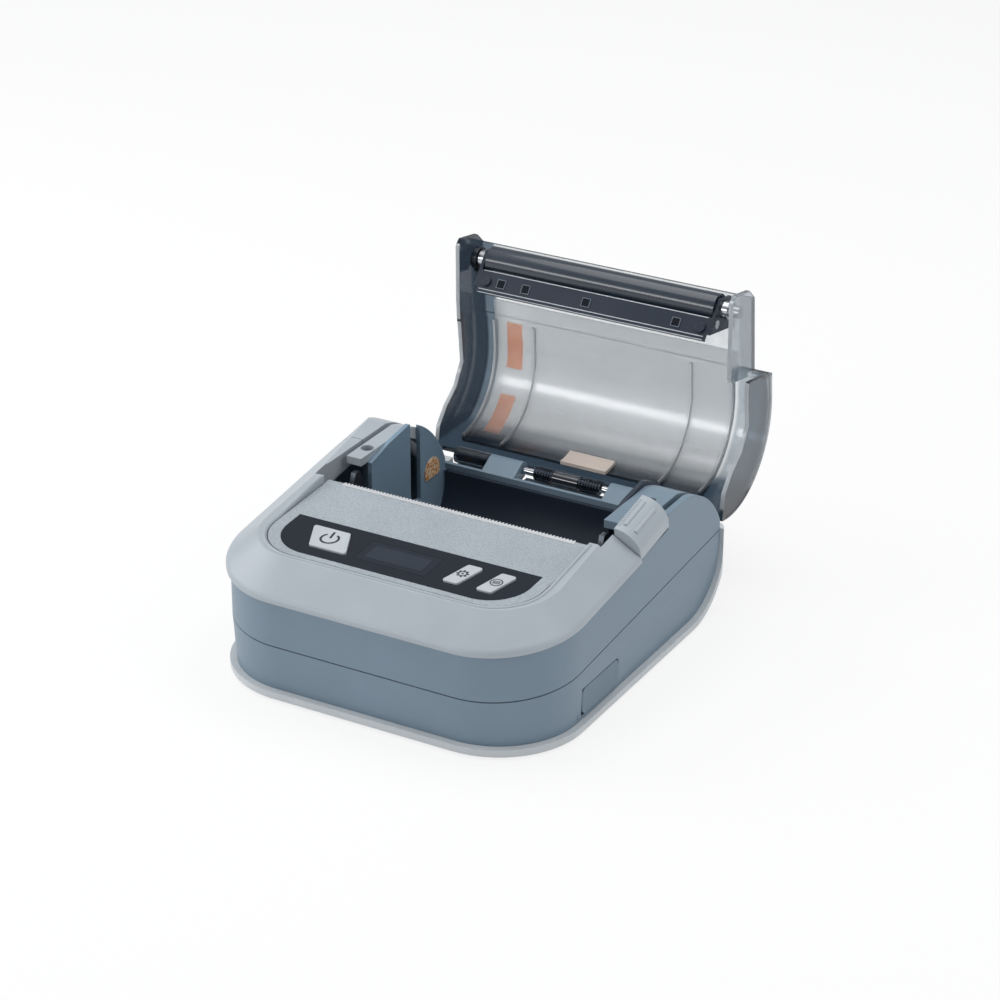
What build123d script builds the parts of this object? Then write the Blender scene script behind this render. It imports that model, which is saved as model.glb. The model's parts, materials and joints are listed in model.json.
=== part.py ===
"""Portable thermal receipt printer with its paper lid swung open, in millimetres.

X is to the right seen from the front, Y to the rear and Z up. The origin lies on the table, under
the middle of the body.
"""

from build123d import *
from math import atan2, cos, degrees, pi, radians, sin, tan
import os

os.makedirs("parts", exist_ok=True)

# Fits
FIT = 0.3  # gap between neighbouring mouldings that move past each other
SLIDE_FIT = 0.2  # gap round a key
RUN_FIT = 0.05  # radial gap between a shaft and its bore
SEAT = 0.1  # gap between fixed pieces that lie in each other
REVEAL = 0.35  # dark line left open between two shells

# Body seen from above
BODY_WIDTH = 116.0
HALF = BODY_WIDTH / 2
BODY_FRONT = -60.0
BODY_REAR = 62.4
FRONT_CORNER = 27.0
REAR_CORNER = 5.0
WALL = 2.2
DRAFT = 1.0  # how much narrower the lower shell is at its foot

# Body seen from the side
FOOT_GAP = 0.5  # height of the rubber feet under the bottom cover
REAR_BEND = 23.0  # radius of the curve from the bottom to the rear
COVER_SKIN = 3.0
COVER_BULGE = 1.3
COVER_DIP = 1.5  # how far the cover's rear edge lies below the hinge knuckles
SHELL_FLOOR = 1.2
PART_FRONT = 18.0  # height of the parting line at the front
PART_SLOPE = 4.6
BEZEL_FRONT = 33.5  # height of the line under the bezel at the front
BEZEL_SLOPE = 6.9
BEZEL_BULGE = 1.4
BEZEL_SKIN = 2.2
LIP_FRONT = 43.4  # height of the bezel's top at the front
LIP_SLOPE = 3.05
LIP_BEND = -31.0  # where the side rails start to climb
RAIL_SLOPE = 8.2
SHOULDER_BAND = 1.4  # upright band of the bezel under its sloping shoulder
SHOULDER_TAPER = 55.0  # lean of the bezel's shoulder from upright
SHOULDER_ROUND = 2.5

# Feet and case screws
FOOT_MIDDLE = -6.0
FOOT_SPAN = BODY_WIDTH - 40
FOOT_RUN = 78.0
FOOT_RADIUS = 5.0
FOOT_SEAT = 0.8
SCREW_SPAN = FOOT_SPAN - 18
SCREW_HEAD = 2.6
SCREW_SINK = 1.6
SCREW_SHANK = 1.2
SCREW_LENGTH = COVER_SKIN - 1

# Top panel, measured in its own plane from the window's rear edge
PANEL_Y = -26.7
PANEL_Z = 45.1
PANEL_HALF = HALF - 12
PANEL_FRONT = -22.3
PANEL_BACK = 22.6
PANEL_CORNER = 15.0
PANEL_THICK = 2.0
PANEL_REST = 1.2  # width of the rim that carries the panel
WINDOW_HALF = PANEL_HALF - 4
WINDOW_DEPTH = 20.0
WINDOW_CORNER = 13.0
WINDOW_THICK = 1.2
KEY_TOP = -4.1
KEY_LENGTH = 11.3
KEY_PROUD = 0.6
KEY_TRAVEL = 0.4
KEY_DEPTH = 4.0
KEY_CORNER = 0.9
POWER_X = 14.25 - WINDOW_HALF
POWER_WIDTH = 13.0
POWER_SLANT = 5.2
FEED_X = WINDOW_HALF - 8.6
SETTINGS_X = FEED_X - 11.3
DISPLAY_LEFT = POWER_X + 14.35
DISPLAY_RIGHT = SETTINGS_X - 11.1
SMALL_KEY_WIDTH = 5.3
SMALL_KEY_SLANT = -2.8
TEAR_HALF = PANEL_HALF - 5.4
TOOTH_PITCH = 1.16
TOOTH_LENGTH = 0.9
TEAR_WIDTH = 1.4
TEAR_THICK = 0.6

# Main board under the panel
BOARD_DROP = 8.0
BOARD_THICK = 1.6
BOARD_HALF = PANEL_HALF - 4.5
BOARD_FRONT = -15.5
BOARD_BACK = 6.0
POST_RADIUS = 2.2
POST_X = BOARD_HALF - 2.9
SWITCH_SIDE = 4.5

# Paper bay
BAY_HALF = HALF - 16.7
BAY_WALL = 1.4
BAY_FRONT = 14.6
BAY_FRONT_TOP = 28.5
BAY_REAR_TOP = 25.6
GUIDE_SLOT_Y = 39.5
GUIDE_SLOT_WIDTH = 6.0
GUIDE_SLOT_FLOOR = 21.0
STICKER_Y = 49.6
STICKER_Z = 28.3
STICKER_RADIUS = 4.6

# Ears beside the bay
EAR_FRONT = 21.8
EAR_TOP = 48.4
EAR_BACK = 36.0
EAR_SHOULDER = (50.5, 41.0)
EAR_FOOT = (59.4, 29.2)
EAR_CREST = 50.0
LEDGE_FRONT = 9.5
LEDGE_SKIN = 2.6
LEDGE_STEP = 30.0  # where the ledge widens behind the slot for the lid's front wall
LEDGE_HOLE_X = BAY_HALF + BAY_WALL + 2.8
LEDGE_HOLE_Y = 17.5
LEDGE_HOLE = 2.1
CAP_DEPTH = 5.0  # how far the pale cap reaches down over the left ear

# Hinge
HINGE_Y = 65.0
HINGE_Z = 28.0
PIN_RADIUS = 1.25
KNUCKLE_RADIUS = 2.8
KNUCKLE_INNER = 16.0
KNUCKLE_JOINT = 28.0  # where the body's knuckle meets the lid's
KNUCKLE_OUTER = BAY_HALF - 0.7
PIN_HALF = KNUCKLE_OUTER - 0.6
LID_OPEN = 100.0
SPRING_SPANS = ((-11.5, -4.5), (5.0, 13.0))
SPRING_RADIUS = 2.4
SPRING_WIRE = 0.8
SPRING_PITCH = 1.0

# Lid as it stands when it is shut
DOME_Y = 38.3
DOME_Z = 30.0
DOME_RADIUS = 27.8
DOME_SLOPE = 14.5
DOME_END = 3.5
LID_FRONT = -2.2
LID_SKIN = 1.5
LID_RAISE = 0.9  # how far the wide rear part stands above the narrow front part
LID_WIDE = HALF - WALL - FIT
LID_NARROW = HALF - 8.2
LID_STEP = 22.6
SIDE_WALL = 1.4
HORN_FRONT = -5.0
HORN_GAP = 1.2  # gap in front of the lid's side walls
NARROW_CORNERS = ((24.0, 36.8), (16.2, 34.8), (-2.8, 31.4), (-5.0, 33.0), (-5.0, 43.0))
REAR_CORNERS = ((66.1, 28.6), (57.2, 28.6), (51.3, 32.1), (45.5, 37.7), (37.6, 40.9), (26.9, 37.9))
WIDE_FOOT = (22.6, 37.4)
WALL_CORNER = 1.2
WEB_BOTTOM = 48.7  # underside of the step between the lid's narrow and wide parts
LINER_HALF = LID_NARROW - 6
LINER_INNER_RIB = LINER_HALF - 14.5
LINER_THICK = 1.0
LINER_RIB = 0.8
LINER_RIB_DEPTH = 1.6
LINER_RIB_FRONT = 24.0
LINER_FRONT = 17.0
LINER_END = 14.0
STRIPE_LEFT = 3.8 - LINER_HALF
STRIPE_RIGHT = STRIPE_LEFT + 5.6
STRIPE_THICK = 0.3
STRIPE_GAP = 0.4  # gap between the step of the lid and the upper bar
STRIPE_BREAK = 85.0
STRIPE_SPAN = (65.0, 31.0)
PAD_LEFT = -6.0
PAD_RIGHT = 10.5
PAD_SPAN = (27.0, 10.0)
PAD_THICK = 1.2

# Platen
PLATEN_Y = 2.0
PLATEN_Z = 40.9
PLATEN_RADIUS = 4.8
PLATEN_HALF = BAY_HALF - FIT
SHAFT_RADIUS = 2.0
SHAFT_HALF = LID_NARROW - SIDE_WALL - 1
BUSH_RADIUS = 2.9
BUSH_LENGTH = 2.2
END_PLATE = PLATEN_HALF + 0.4
END_PLATE_THICK = 1.1
END_PLATE_FRONT = -1.6
END_PLATE_REAR = 9.0
END_PLATE_CORNERS = ((9.0, 33.5), (7.6, 33.3), (3.4, 35.7), (0.4, 37.4), (-1.6, 38.6))
BRACKET_TOP = (4.0, 35.3)
BRACKET_FOOT = (10.8, 31.5)
BRACKET_THICK = 1.2
BRACKET_HALF = PLATEN_HALF  # the lower strip of the bracket passes between the walls of the bay
SENSOR_SPOTS = (8 - BRACKET_HALF, 17 - BRACKET_HALF, -2.0, BRACKET_HALF - 11)
SENSOR_SIDE = 2.6
SENSOR_RISE = 4.0
SENSOR_SINK = 0.6
SENSOR_PROUD = 0.2
BRACKET_SCREW_X = BRACKET_HALF - 2.4
BRACKET_SCREW_HEAD = 1.7
BRACKET_SCREW_THICK = 0.7

# Gears and motor
MODULE = 0.5
PLATEN_TEETH = 17
IDLER_TEETH = 30
PINION_TEETH = 12
GEAR_WIDTH = 2.0
GEAR_PLANE = SHAFT_HALF - 2.2  # inner face of the gears, left of the middle
MESH_GAP = 0.1
TIP_GAP = 0.25  # gap left between the platen's gear and the idler
IDLER_ANGLE = 245.0
PINION_ANGLE = 233.0
AXLE_RADIUS = 1.0
MOTOR_RADIUS = 8.0
MOTOR_LENGTH = 18.0
MOTOR_FLANGE = 1.0
MOTOR_TILT = 115.0

# Print mechanism
CRADLE = END_PLATE + END_PLATE_THICK + 0.4
CRADLE_THICK = 1.7
CRADLE_CORNERS = ((-14.0, 40.0), (-6.0, 43.2), (-2.5, 44.6), (9.0, 44.6), (12.0, 38.0))
CRADLE_FRONT = -14.0
CRADLE_REAR = 12.0
CRADLE_FOOT = 4.5  # width of the flange that stands on the floor
CRADLE_BAR = (10.75, 13.0)
CRADLE_BAR_SIZE = (2.5, 2.0)
NOTCH_FIT = 0.15
NOTCH_TOP = ((-0.65, 46.0), (6.95, 46.0))
HEAD_ANGLE = 60.0  # slope of the line from the head's heater to the platen's axis
HEAD_HALF = PLATEN_HALF + 0.2
HEAD_FRONT = -3.0
HEAD_REAR = 7.5
HEAD_THICK = 1.0
SINK_THICK = 3.0
HEAD_SPRING = 4.0
HEAD_SPRING_RADIUS = 2.2
HEAD_SPRING_V = 2.0
HEAD_SPRING_X = (13 - HEAD_HALF, 0, HEAD_HALF - 13)
PRESS_BAR = 1.5
PRESS_BAR_WIDTH = 6.0

# Release lever
LEVER_FRONT = 3.0
LEVER_LENGTH = 18.4
LEVER_SLOPE = 11.0
LEVER_INNER = LID_NARROW + 0.7
LEVER_OUTER = HALF + 0.8
LEVER_BOTTOM = 41.5
LEVER_CREST = 9.6
LEVER_BROW = (LEVER_OUTER - 3.2, 8.0)
LEVER_LIP = 3.6
LEVER_GAP = 1.3
LEVER_PIN = (LEVER_INNER + 2.2, 1.7)
LEVER_PIN_RADIUS = 0.8
LEVER_PIN_REACH = 2.0
LEVER_RIDGES = ((LEVER_INNER + 2.1, 9.1), (LEVER_INNER + 5.4, 7.5))
RIDGE_RADIUS = 0.7
RIDGE_LENGTH = 12.5

# Battery, port and flap
BATTERY_SIZE = (72.0, 33.0, 19.0)
BATTERY_FRONT = -55.0
FLAP_Y = -19.5
FLAP_Z = 9.6
FLAP_LENGTH = 22.4
FLAP_HEIGHT = 8.6
FLAP_THICK = 1.4
FLAP_FACE = HALF - 0.25
PORT_Y = -14.5
PORT_WIDTH = 9.0
PORT_HEIGHT = 3.2
PORT_DEPTH = 7.0
PLUG_LENGTH = 1.6
PORT_SHELL = 0.3
PORT_TONGUE = (6.6, 0.7, 4.8)
PORT_PAD = 1.6  # how far the wall behind the flap is thickened inwards
PORT_BOARD = (9.0, 20.0)
PORT_BOARD_THICK = 1.6
FLAP_HINGE_Y = -30.0

# Values worked out from the ones above
BODY_DEPTH = BODY_REAR - BODY_FRONT
BODY_MID = (BODY_REAR + BODY_FRONT) / 2
HIGH = 90.0
BEND_Y = BODY_REAR - REAR_BEND
BEND_Z = FOOT_GAP + REAR_BEND
FLOOR = FOOT_GAP + COVER_SKIN + SHELL_FLOOR
HINGE = Axis((0, HINGE_Y, HINGE_Z), (1, 0, 0))
PART_PLANE = Plane((0, BODY_FRONT, PART_FRONT), x_dir=(1, 0, 0)).rotated((PART_SLOPE, 0, 0))
BEZEL_PLANE = Plane((0, BODY_FRONT, BEZEL_FRONT), x_dir=(1, 0, 0)).rotated((BEZEL_SLOPE, 0, 0))
PANEL = Plane((0, PANEL_Y, PANEL_Z), x_dir=(1, 0, 0)).rotated((LIP_SLOPE, 0, 0))
LEVER_RUN = Vector(0, cos(radians(LEVER_SLOPE)), sin(radians(LEVER_SLOPE)))
LEVER_PLANE = Plane((0, LEVER_FRONT, LEVER_BOTTOM), x_dir=(1, 0, 0), z_dir=-LEVER_RUN)
HEAD_RISE = Vector(0, cos(radians(HEAD_ANGLE)), sin(radians(HEAD_ANGLE)))
HEAD_POINT = Vector(0, PLATEN_Y, PLATEN_Z) - HEAD_RISE * (PLATEN_RADIUS + FIT)
HEAD_PLANE = Plane(HEAD_POINT, x_dir=(1, 0, 0), z_dir=HEAD_RISE)
SLOT_INNER = LID_NARROW - SIDE_WALL - FIT
SLOT_OUTER = LID_NARROW + FIT
WIDE_INNER = LID_WIDE - SIDE_WALL - FIT
SLOT_FRONT = HORN_FRONT - HORN_GAP
BAY_OUTER = BAY_HALF + BAY_WALL
NARROW_RADIUS = DOME_RADIUS - LID_RAISE
INNER_RADIUS = NARROW_RADIUS - LID_SKIN
WIDE_RADIUS = DOME_RADIUS - LID_SKIN
BRACKET_RUN = (Vector(0, *BRACKET_TOP) - Vector(0, *BRACKET_FOOT)).length
BRACKET_LEAN = Vector(0, BRACKET_FOOT[1] - BRACKET_TOP[1], BRACKET_TOP[0] - BRACKET_FOOT[0])
BRACKET_PLANE = Plane((0, *BRACKET_FOOT), x_dir=(1, 0, 0), z_dir=BRACKET_LEAN)
PORT_FACE = HALF - WALL - PORT_PAD - SEAT
PORT_BOARD_TOP = FLAP_Z - PORT_HEIGHT / 2 - SEAT
SINK_DROP = HEAD_THICK + SEAT
SPRING_DROP = SINK_DROP + SINK_THICK + SEAT
PRESS_DROP = SPRING_DROP + HEAD_SPRING + SEAT
GEAR_STEP = MODULE / 2
IDLER_REACH = GEAR_STEP * (PLATEN_TEETH + IDLER_TEETH) + 2 * MODULE + TIP_GAP
IDLER_Y = PLATEN_Y + IDLER_REACH * cos(radians(IDLER_ANGLE))
IDLER_Z = PLATEN_Z + IDLER_REACH * sin(radians(IDLER_ANGLE))
PINION_REACH = GEAR_STEP * (IDLER_TEETH + PINION_TEETH) + MESH_GAP
PINION_Y = IDLER_Y + PINION_REACH * cos(radians(PINION_ANGLE))
PINION_Z = IDLER_Z + PINION_REACH * sin(radians(PINION_ANGLE))
# Turn that puts the pinion's teeth into the idler's gaps
PINION_TURN = PINION_ANGLE - 180 - 360 / PINION_TEETH * (0.5 - PINION_ANGLE * IDLER_TEETH / 360)


def keep(builder, name):
    """Names a finished piece and writes its file."""
    builder.part.label = name
    export_step(builder.part, f"parts/{name}.step")


def keep_open(builder, name):
    """Swings a finished piece of the lid from shut to open, names it and writes its file."""
    piece = builder.part.rotate(HINGE, -LID_OPEN)
    piece.label = name
    export_step(piece, f"parts/{name}.step")


def part_height(y):
    """Height of the parting line at a place along the body."""
    return PART_FRONT + (y - BODY_FRONT) * tan(radians(PART_SLOPE))


def bezel_height(y):
    """Height of the line under the bezel at a place along the body."""
    return BEZEL_FRONT + (y - BODY_FRONT) * tan(radians(BEZEL_SLOPE))


def rail_height(y):
    """Height of the bezel's top along the body."""
    bend = LIP_FRONT + (LIP_BEND - BODY_FRONT) * tan(radians(LIP_SLOPE))
    if y < LIP_BEND:
        return bend + (y - LIP_BEND) * tan(radians(LIP_SLOPE))
    return bend + (y - LIP_BEND) * tan(radians(RAIL_SLOPE))


def dome_point(radius, angle):
    """Point of the lid's rear curve at an angle above the rearward direction."""
    return DOME_Y + radius * cos(radians(angle)), DOME_Z + radius * sin(radians(angle))


def dome_front(radius, y):
    """Point of the lid's straight front slope, which runs tangent into the rear curve."""
    start_y, start_z = dome_point(radius, 90 + DOME_SLOPE)
    return y, start_z + (y - start_y) * tan(radians(DOME_SLOPE))


def side_face(points):
    """Face in the side view through a list of corners."""
    with BuildSketch(Plane.YZ) as face:
        with BuildLine():
            Polyline(*points, close=True)
        make_face()
    return face.sketch


def trough_face(skin):
    """Side view of the body's inside above a skin that follows its bottom and its rear curve."""
    reach = REAR_BEND - skin
    low = (BEND_Y, FOOT_GAP + skin)
    high = (BEND_Y + reach, BEND_Z)
    with BuildSketch(Plane.YZ) as face:
        with BuildLine():
            RadiusArc(low, high, -reach)
            Polyline(high, (BEND_Y + reach, HIGH), (2 * BODY_FRONT, HIGH), (2 * BODY_FRONT, low[1]), low)
        make_face()
    return face.sketch


def body_block(inset, skin, foot_inset=0.0):
    """Full-height form of the body, its plan drawn in by an inset and its underside by a skin."""
    with BuildPart() as block:
        with BuildSketch(Plane.XY.offset(FOOT_GAP)) as plan:
            with Locations((0, BODY_MID)):
                Rectangle(BODY_WIDTH - 2 * (inset + foot_inset), BODY_DEPTH - 2 * (inset + foot_inset))
            fillet(plan.vertices().group_by(Axis.Y)[0], FRONT_CORNER - inset - foot_inset)
            fillet(plan.vertices().group_by(Axis.Y)[-1], REAR_CORNER - inset)
        extrude(amount=HIGH, taper=-degrees(atan2(foot_inset, PART_FRONT)))
        extrude(trough_face(skin), amount=BODY_WIDTH, both=True, mode=Mode.INTERSECT)
    return block.part


def shoulder_block(inset):
    """Form that leans in above the bezel's upright band, its plan drawn in from the bezel's by an inset."""
    bulge = BEZEL_BULGE - inset
    with BuildPart() as block:
        with BuildSketch(BEZEL_PLANE.offset(SHOULDER_BAND)) as plan:
            with Locations((0, BODY_DEPTH)):
                Rectangle(BODY_WIDTH + 2 * bulge, 2 * (BODY_DEPTH + bulge))
            fillet(plan.vertices().group_by(Axis.Y)[0], FRONT_CORNER + bulge)
        extrude(amount=FRONT_CORNER / 2, taper=SHOULDER_TAPER)
        extrude(plan.sketch, amount=-HIGH)
        brim = block.edges().filter_by(
            lambda e: abs(BEZEL_PLANE.to_local_coords(e.center()).Z - SHOULDER_BAND) < RUN_FIT
        )
        fillet(brim, SHOULDER_ROUND)
    return block.part


def cap_block(grow):
    """Band over the left ear that its pale cap fills, grown by a margin."""
    with BuildPart() as band:
        extrude(ear_face(Plane.YZ, EAR_FRONT + FIT, -grow), amount=-BODY_WIDTH)
        extrude(ear_face(Plane.YZ, EAR_FRONT + FIT, CAP_DEPTH + grow), amount=-BODY_WIDTH, mode=Mode.SUBTRACT)
        split(bisect_by=Plane.XY.offset(EAR_FOOT[1] - grow), keep=Keep.TOP)
    return band.part


def panel_face(plane, grow):
    """Outline of the top panel in its own plane, grown by a margin."""
    with BuildSketch(plane) as face:
        with Locations((0, (PANEL_FRONT + PANEL_BACK) / 2)):
            Rectangle(2 * (PANEL_HALF + grow), PANEL_BACK - PANEL_FRONT + 2 * grow)
        fillet(face.vertices().group_by(Axis.Y)[0], PANEL_CORNER + grow)
    return face.sketch


def window_face(plane, grow):
    """Outline of the dark window in the panel's plane."""
    with BuildSketch(plane) as face:
        with Locations((0, -WINDOW_DEPTH / 2)):
            Rectangle(2 * (WINDOW_HALF + grow), WINDOW_DEPTH + 2 * grow)
        fillet(face.vertices().group_by(Axis.Y)[0], WINDOW_CORNER + grow)
    return face.sketch


def key_face(plane, middle, width, slant, grow):
    """Outline of a slanted key in the panel's plane."""
    side = width / 2 + grow
    top = KEY_TOP + grow
    bottom = KEY_TOP - KEY_LENGTH - grow
    with BuildSketch(plane) as face:
        with BuildLine():
            Polyline(
                (middle - side, top),
                (middle + side, top),
                (middle + slant + side, bottom),
                (middle + slant - side, bottom),
                close=True,
            )
        make_face()
        fillet(face.vertices(), KEY_CORNER)
    return face.sketch


KEYS = {
    "power_button": (POWER_X, POWER_WIDTH, POWER_SLANT),
    "settings_button": (SETTINGS_X, SMALL_KEY_WIDTH, SMALL_KEY_SLANT),
    "feed_button": (FEED_X, SMALL_KEY_WIDTH, SMALL_KEY_SLANT),
}


def display_face(plane, grow):
    """Outline of the display in the panel's plane."""
    with BuildSketch(plane) as face:
        with Locations(((DISPLAY_LEFT + DISPLAY_RIGHT) / 2, KEY_TOP - KEY_LENGTH / 2)):
            Rectangle(DISPLAY_RIGHT - DISPLAY_LEFT + 2 * grow, KEY_LENGTH + 2 * grow)
    return face.sketch


def dome_sheet(outer, inner, front, end):
    """Side view of a curved sheet of the lid between two radii, from a front edge to an end angle."""
    start = 90 + DOME_SLOPE
    middle = (start + end) / 2
    with BuildSketch(Plane.YZ) as face:
        with BuildLine():
            Line(dome_front(outer, front), dome_point(outer, start))
            ThreePointArc(dome_point(outer, start), dome_point(outer, middle), dome_point(outer, end))
            Line(dome_point(outer, end), dome_point(inner, end))
            ThreePointArc(dome_point(inner, end), dome_point(inner, middle), dome_point(inner, start))
            Polyline(dome_point(inner, start), dome_front(inner, front), dome_front(outer, front))
        make_face()
    return face.sketch


def dome_strip(outer, inner, start, end):
    """Side view of a curved strip of the lid between two radii and two angles."""
    middle = (start + end) / 2
    with BuildSketch(Plane.YZ) as face:
        with BuildLine():
            ThreePointArc(dome_point(outer, start), dome_point(outer, middle), dome_point(outer, end))
            Line(dome_point(outer, end), dome_point(inner, end))
            ThreePointArc(dome_point(inner, end), dome_point(inner, middle), dome_point(inner, start))
            Line(dome_point(inner, start), dome_point(outer, start))
        make_face()
    return face.sketch


def ear_face(plane, front, drop):
    """Side view of an ear beside the bay, with its rounded rear shoulder, lowered by a drop."""
    base = part_height(front)
    top = EAR_TOP
    back = EAR_FOOT[0] - drop
    with BuildSketch(plane) as face:
        with BuildLine():
            Line((front, top - drop), (EAR_BACK - drop, top - drop))
            ThreePointArc(
                (EAR_BACK - drop, top - drop),
                (EAR_SHOULDER[0] - drop, EAR_SHOULDER[1] - drop),
                (back, EAR_FOOT[1]),
            )
            Polyline((back, EAR_FOOT[1]), (back, base), (front, base), (front, top - drop))
        make_face()
    return face.sketch


def gear(teeth, bore):
    """Spur gear blank with trapezoid teeth, its axis along X, standing at the origin."""
    pitch = MODULE * teeth / 2
    root = pitch - 1.2 * MODULE
    tip = pitch + MODULE
    base_half = 0.30 * pi * MODULE
    tip_half = 0.12 * pi * MODULE
    with BuildPart() as wheel:
        with BuildSketch(Plane.YZ):
            Circle(root)
            with PolarLocations(0, teeth):
                with BuildLine():
                    Polyline(
                        (root - MODULE / 2, -base_half),
                        (root, -base_half),
                        (tip, -tip_half),
                        (tip, tip_half),
                        (root, base_half),
                        (root - MODULE / 2, base_half),
                        close=True,
                    )
                make_face()
            if bore:
                Circle(bore, mode=Mode.SUBTRACT)
        extrude(amount=-GEAR_WIDTH)
    return wheel.part


# Bottom cover: the pale moulding under the body, which also wraps round the lower rear
with BuildPart() as bottom_cover:
    add(body_block(-COVER_BULGE, 0))
    split(bisect_by=PART_PLANE, keep=Keep.BOTTOM)
    extrude(trough_face(COVER_SKIN), amount=BODY_WIDTH, both=True, mode=Mode.SUBTRACT)
    underside = bottom_cover.faces().sort_by(Axis.Z)[0]
    fillet(underside.edges().filter_by(lambda e: e.center().Y < BEND_Y - 1), COVER_BULGE)
    with BuildSketch(Plane.XY.offset(FOOT_GAP)):
        with Locations((0, FOOT_MIDDLE)):
            with GridLocations(FOOT_SPAN, FOOT_RUN, 2, 2):
                Circle(FOOT_RADIUS)
    extrude(amount=FOOT_SEAT, mode=Mode.SUBTRACT)
    with BuildSketch(Plane.XY.offset(FOOT_GAP)):
        with Locations((0, FOOT_MIDDLE)):
            with GridLocations(SCREW_SPAN, FOOT_RUN, 2, 2):
                Circle(SCREW_HEAD)
    extrude(amount=SCREW_SINK, mode=Mode.SUBTRACT)
    with BuildSketch(Plane.XY.offset(FOOT_GAP)):
        with Locations((0, FOOT_MIDDLE)):
            with GridLocations(SCREW_SPAN, FOOT_RUN, 2, 2):
                Circle(SCREW_SHANK + SEAT)
    extrude(amount=COVER_SKIN, mode=Mode.SUBTRACT)
    for side in (-1, 1):
        with BuildSketch(Plane.YZ.offset(side * (KNUCKLE_INNER - SEAT))):
            with Locations((BODY_REAR, BEND_Z + REAR_BEND / 2)):
                Rectangle(2 * REAR_BEND, REAR_BEND + 2 * KNUCKLE_RADIUS)
        extrude(amount=side * (KNUCKLE_JOINT - KNUCKLE_INNER + SEAT), mode=Mode.SUBTRACT)
        with BuildSketch(Plane.YZ.offset(side * KNUCKLE_JOINT)):
            with Locations((HINGE_Y, HINGE_Z)):
                Circle(KNUCKLE_RADIUS + FIT)
        extrude(amount=side * (KNUCKLE_OUTER - KNUCKLE_JOINT + FIT), mode=Mode.SUBTRACT)
    with BuildSketch(Plane.YZ):
        with Locations((BODY_REAR, HINGE_Z + HIGH / 2 - KNUCKLE_RADIUS - COVER_DIP)):
            Rectangle(REAR_BEND, HIGH)
    extrude(amount=KNUCKLE_OUTER + FIT, both=True, mode=Mode.SUBTRACT)
keep(bottom_cover, "bottom_cover")

# Feet: four rubber pads set into the bottom cover
with BuildPart() as rubber_feet:
    with BuildSketch():
        with Locations((0, FOOT_MIDDLE)):
            with GridLocations(FOOT_SPAN, FOOT_RUN, 2, 2):
                Circle(FOOT_RADIUS - SEAT)
    extrude(amount=FOOT_GAP + FOOT_SEAT)
    chamfer(rubber_feet.edges().group_by(Axis.Z)[0], FOOT_GAP / 2)
keep(rubber_feet, "rubber_feet")

# Case screws: four sunk screws that hold the bottom cover to the lower shell
with BuildPart() as case_screws:
    with BuildSketch(Plane.XY.offset(FOOT_GAP + SCREW_SINK - SEAT)):
        with Locations((0, FOOT_MIDDLE)):
            with GridLocations(SCREW_SPAN, FOOT_RUN, 2, 2):
                Circle(SCREW_HEAD - SEAT)
    extrude(amount=-SCREW_SINK / 2)
    with BuildSketch(Plane.XY.offset(FOOT_GAP + SCREW_SINK - SEAT)):
        with Locations((0, FOOT_MIDDLE)):
            with GridLocations(SCREW_SPAN, FOOT_RUN, 2, 2):
                Circle(SCREW_SHANK)
    extrude(amount=SCREW_LENGTH)
keep(case_screws, "case_screws")

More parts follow.
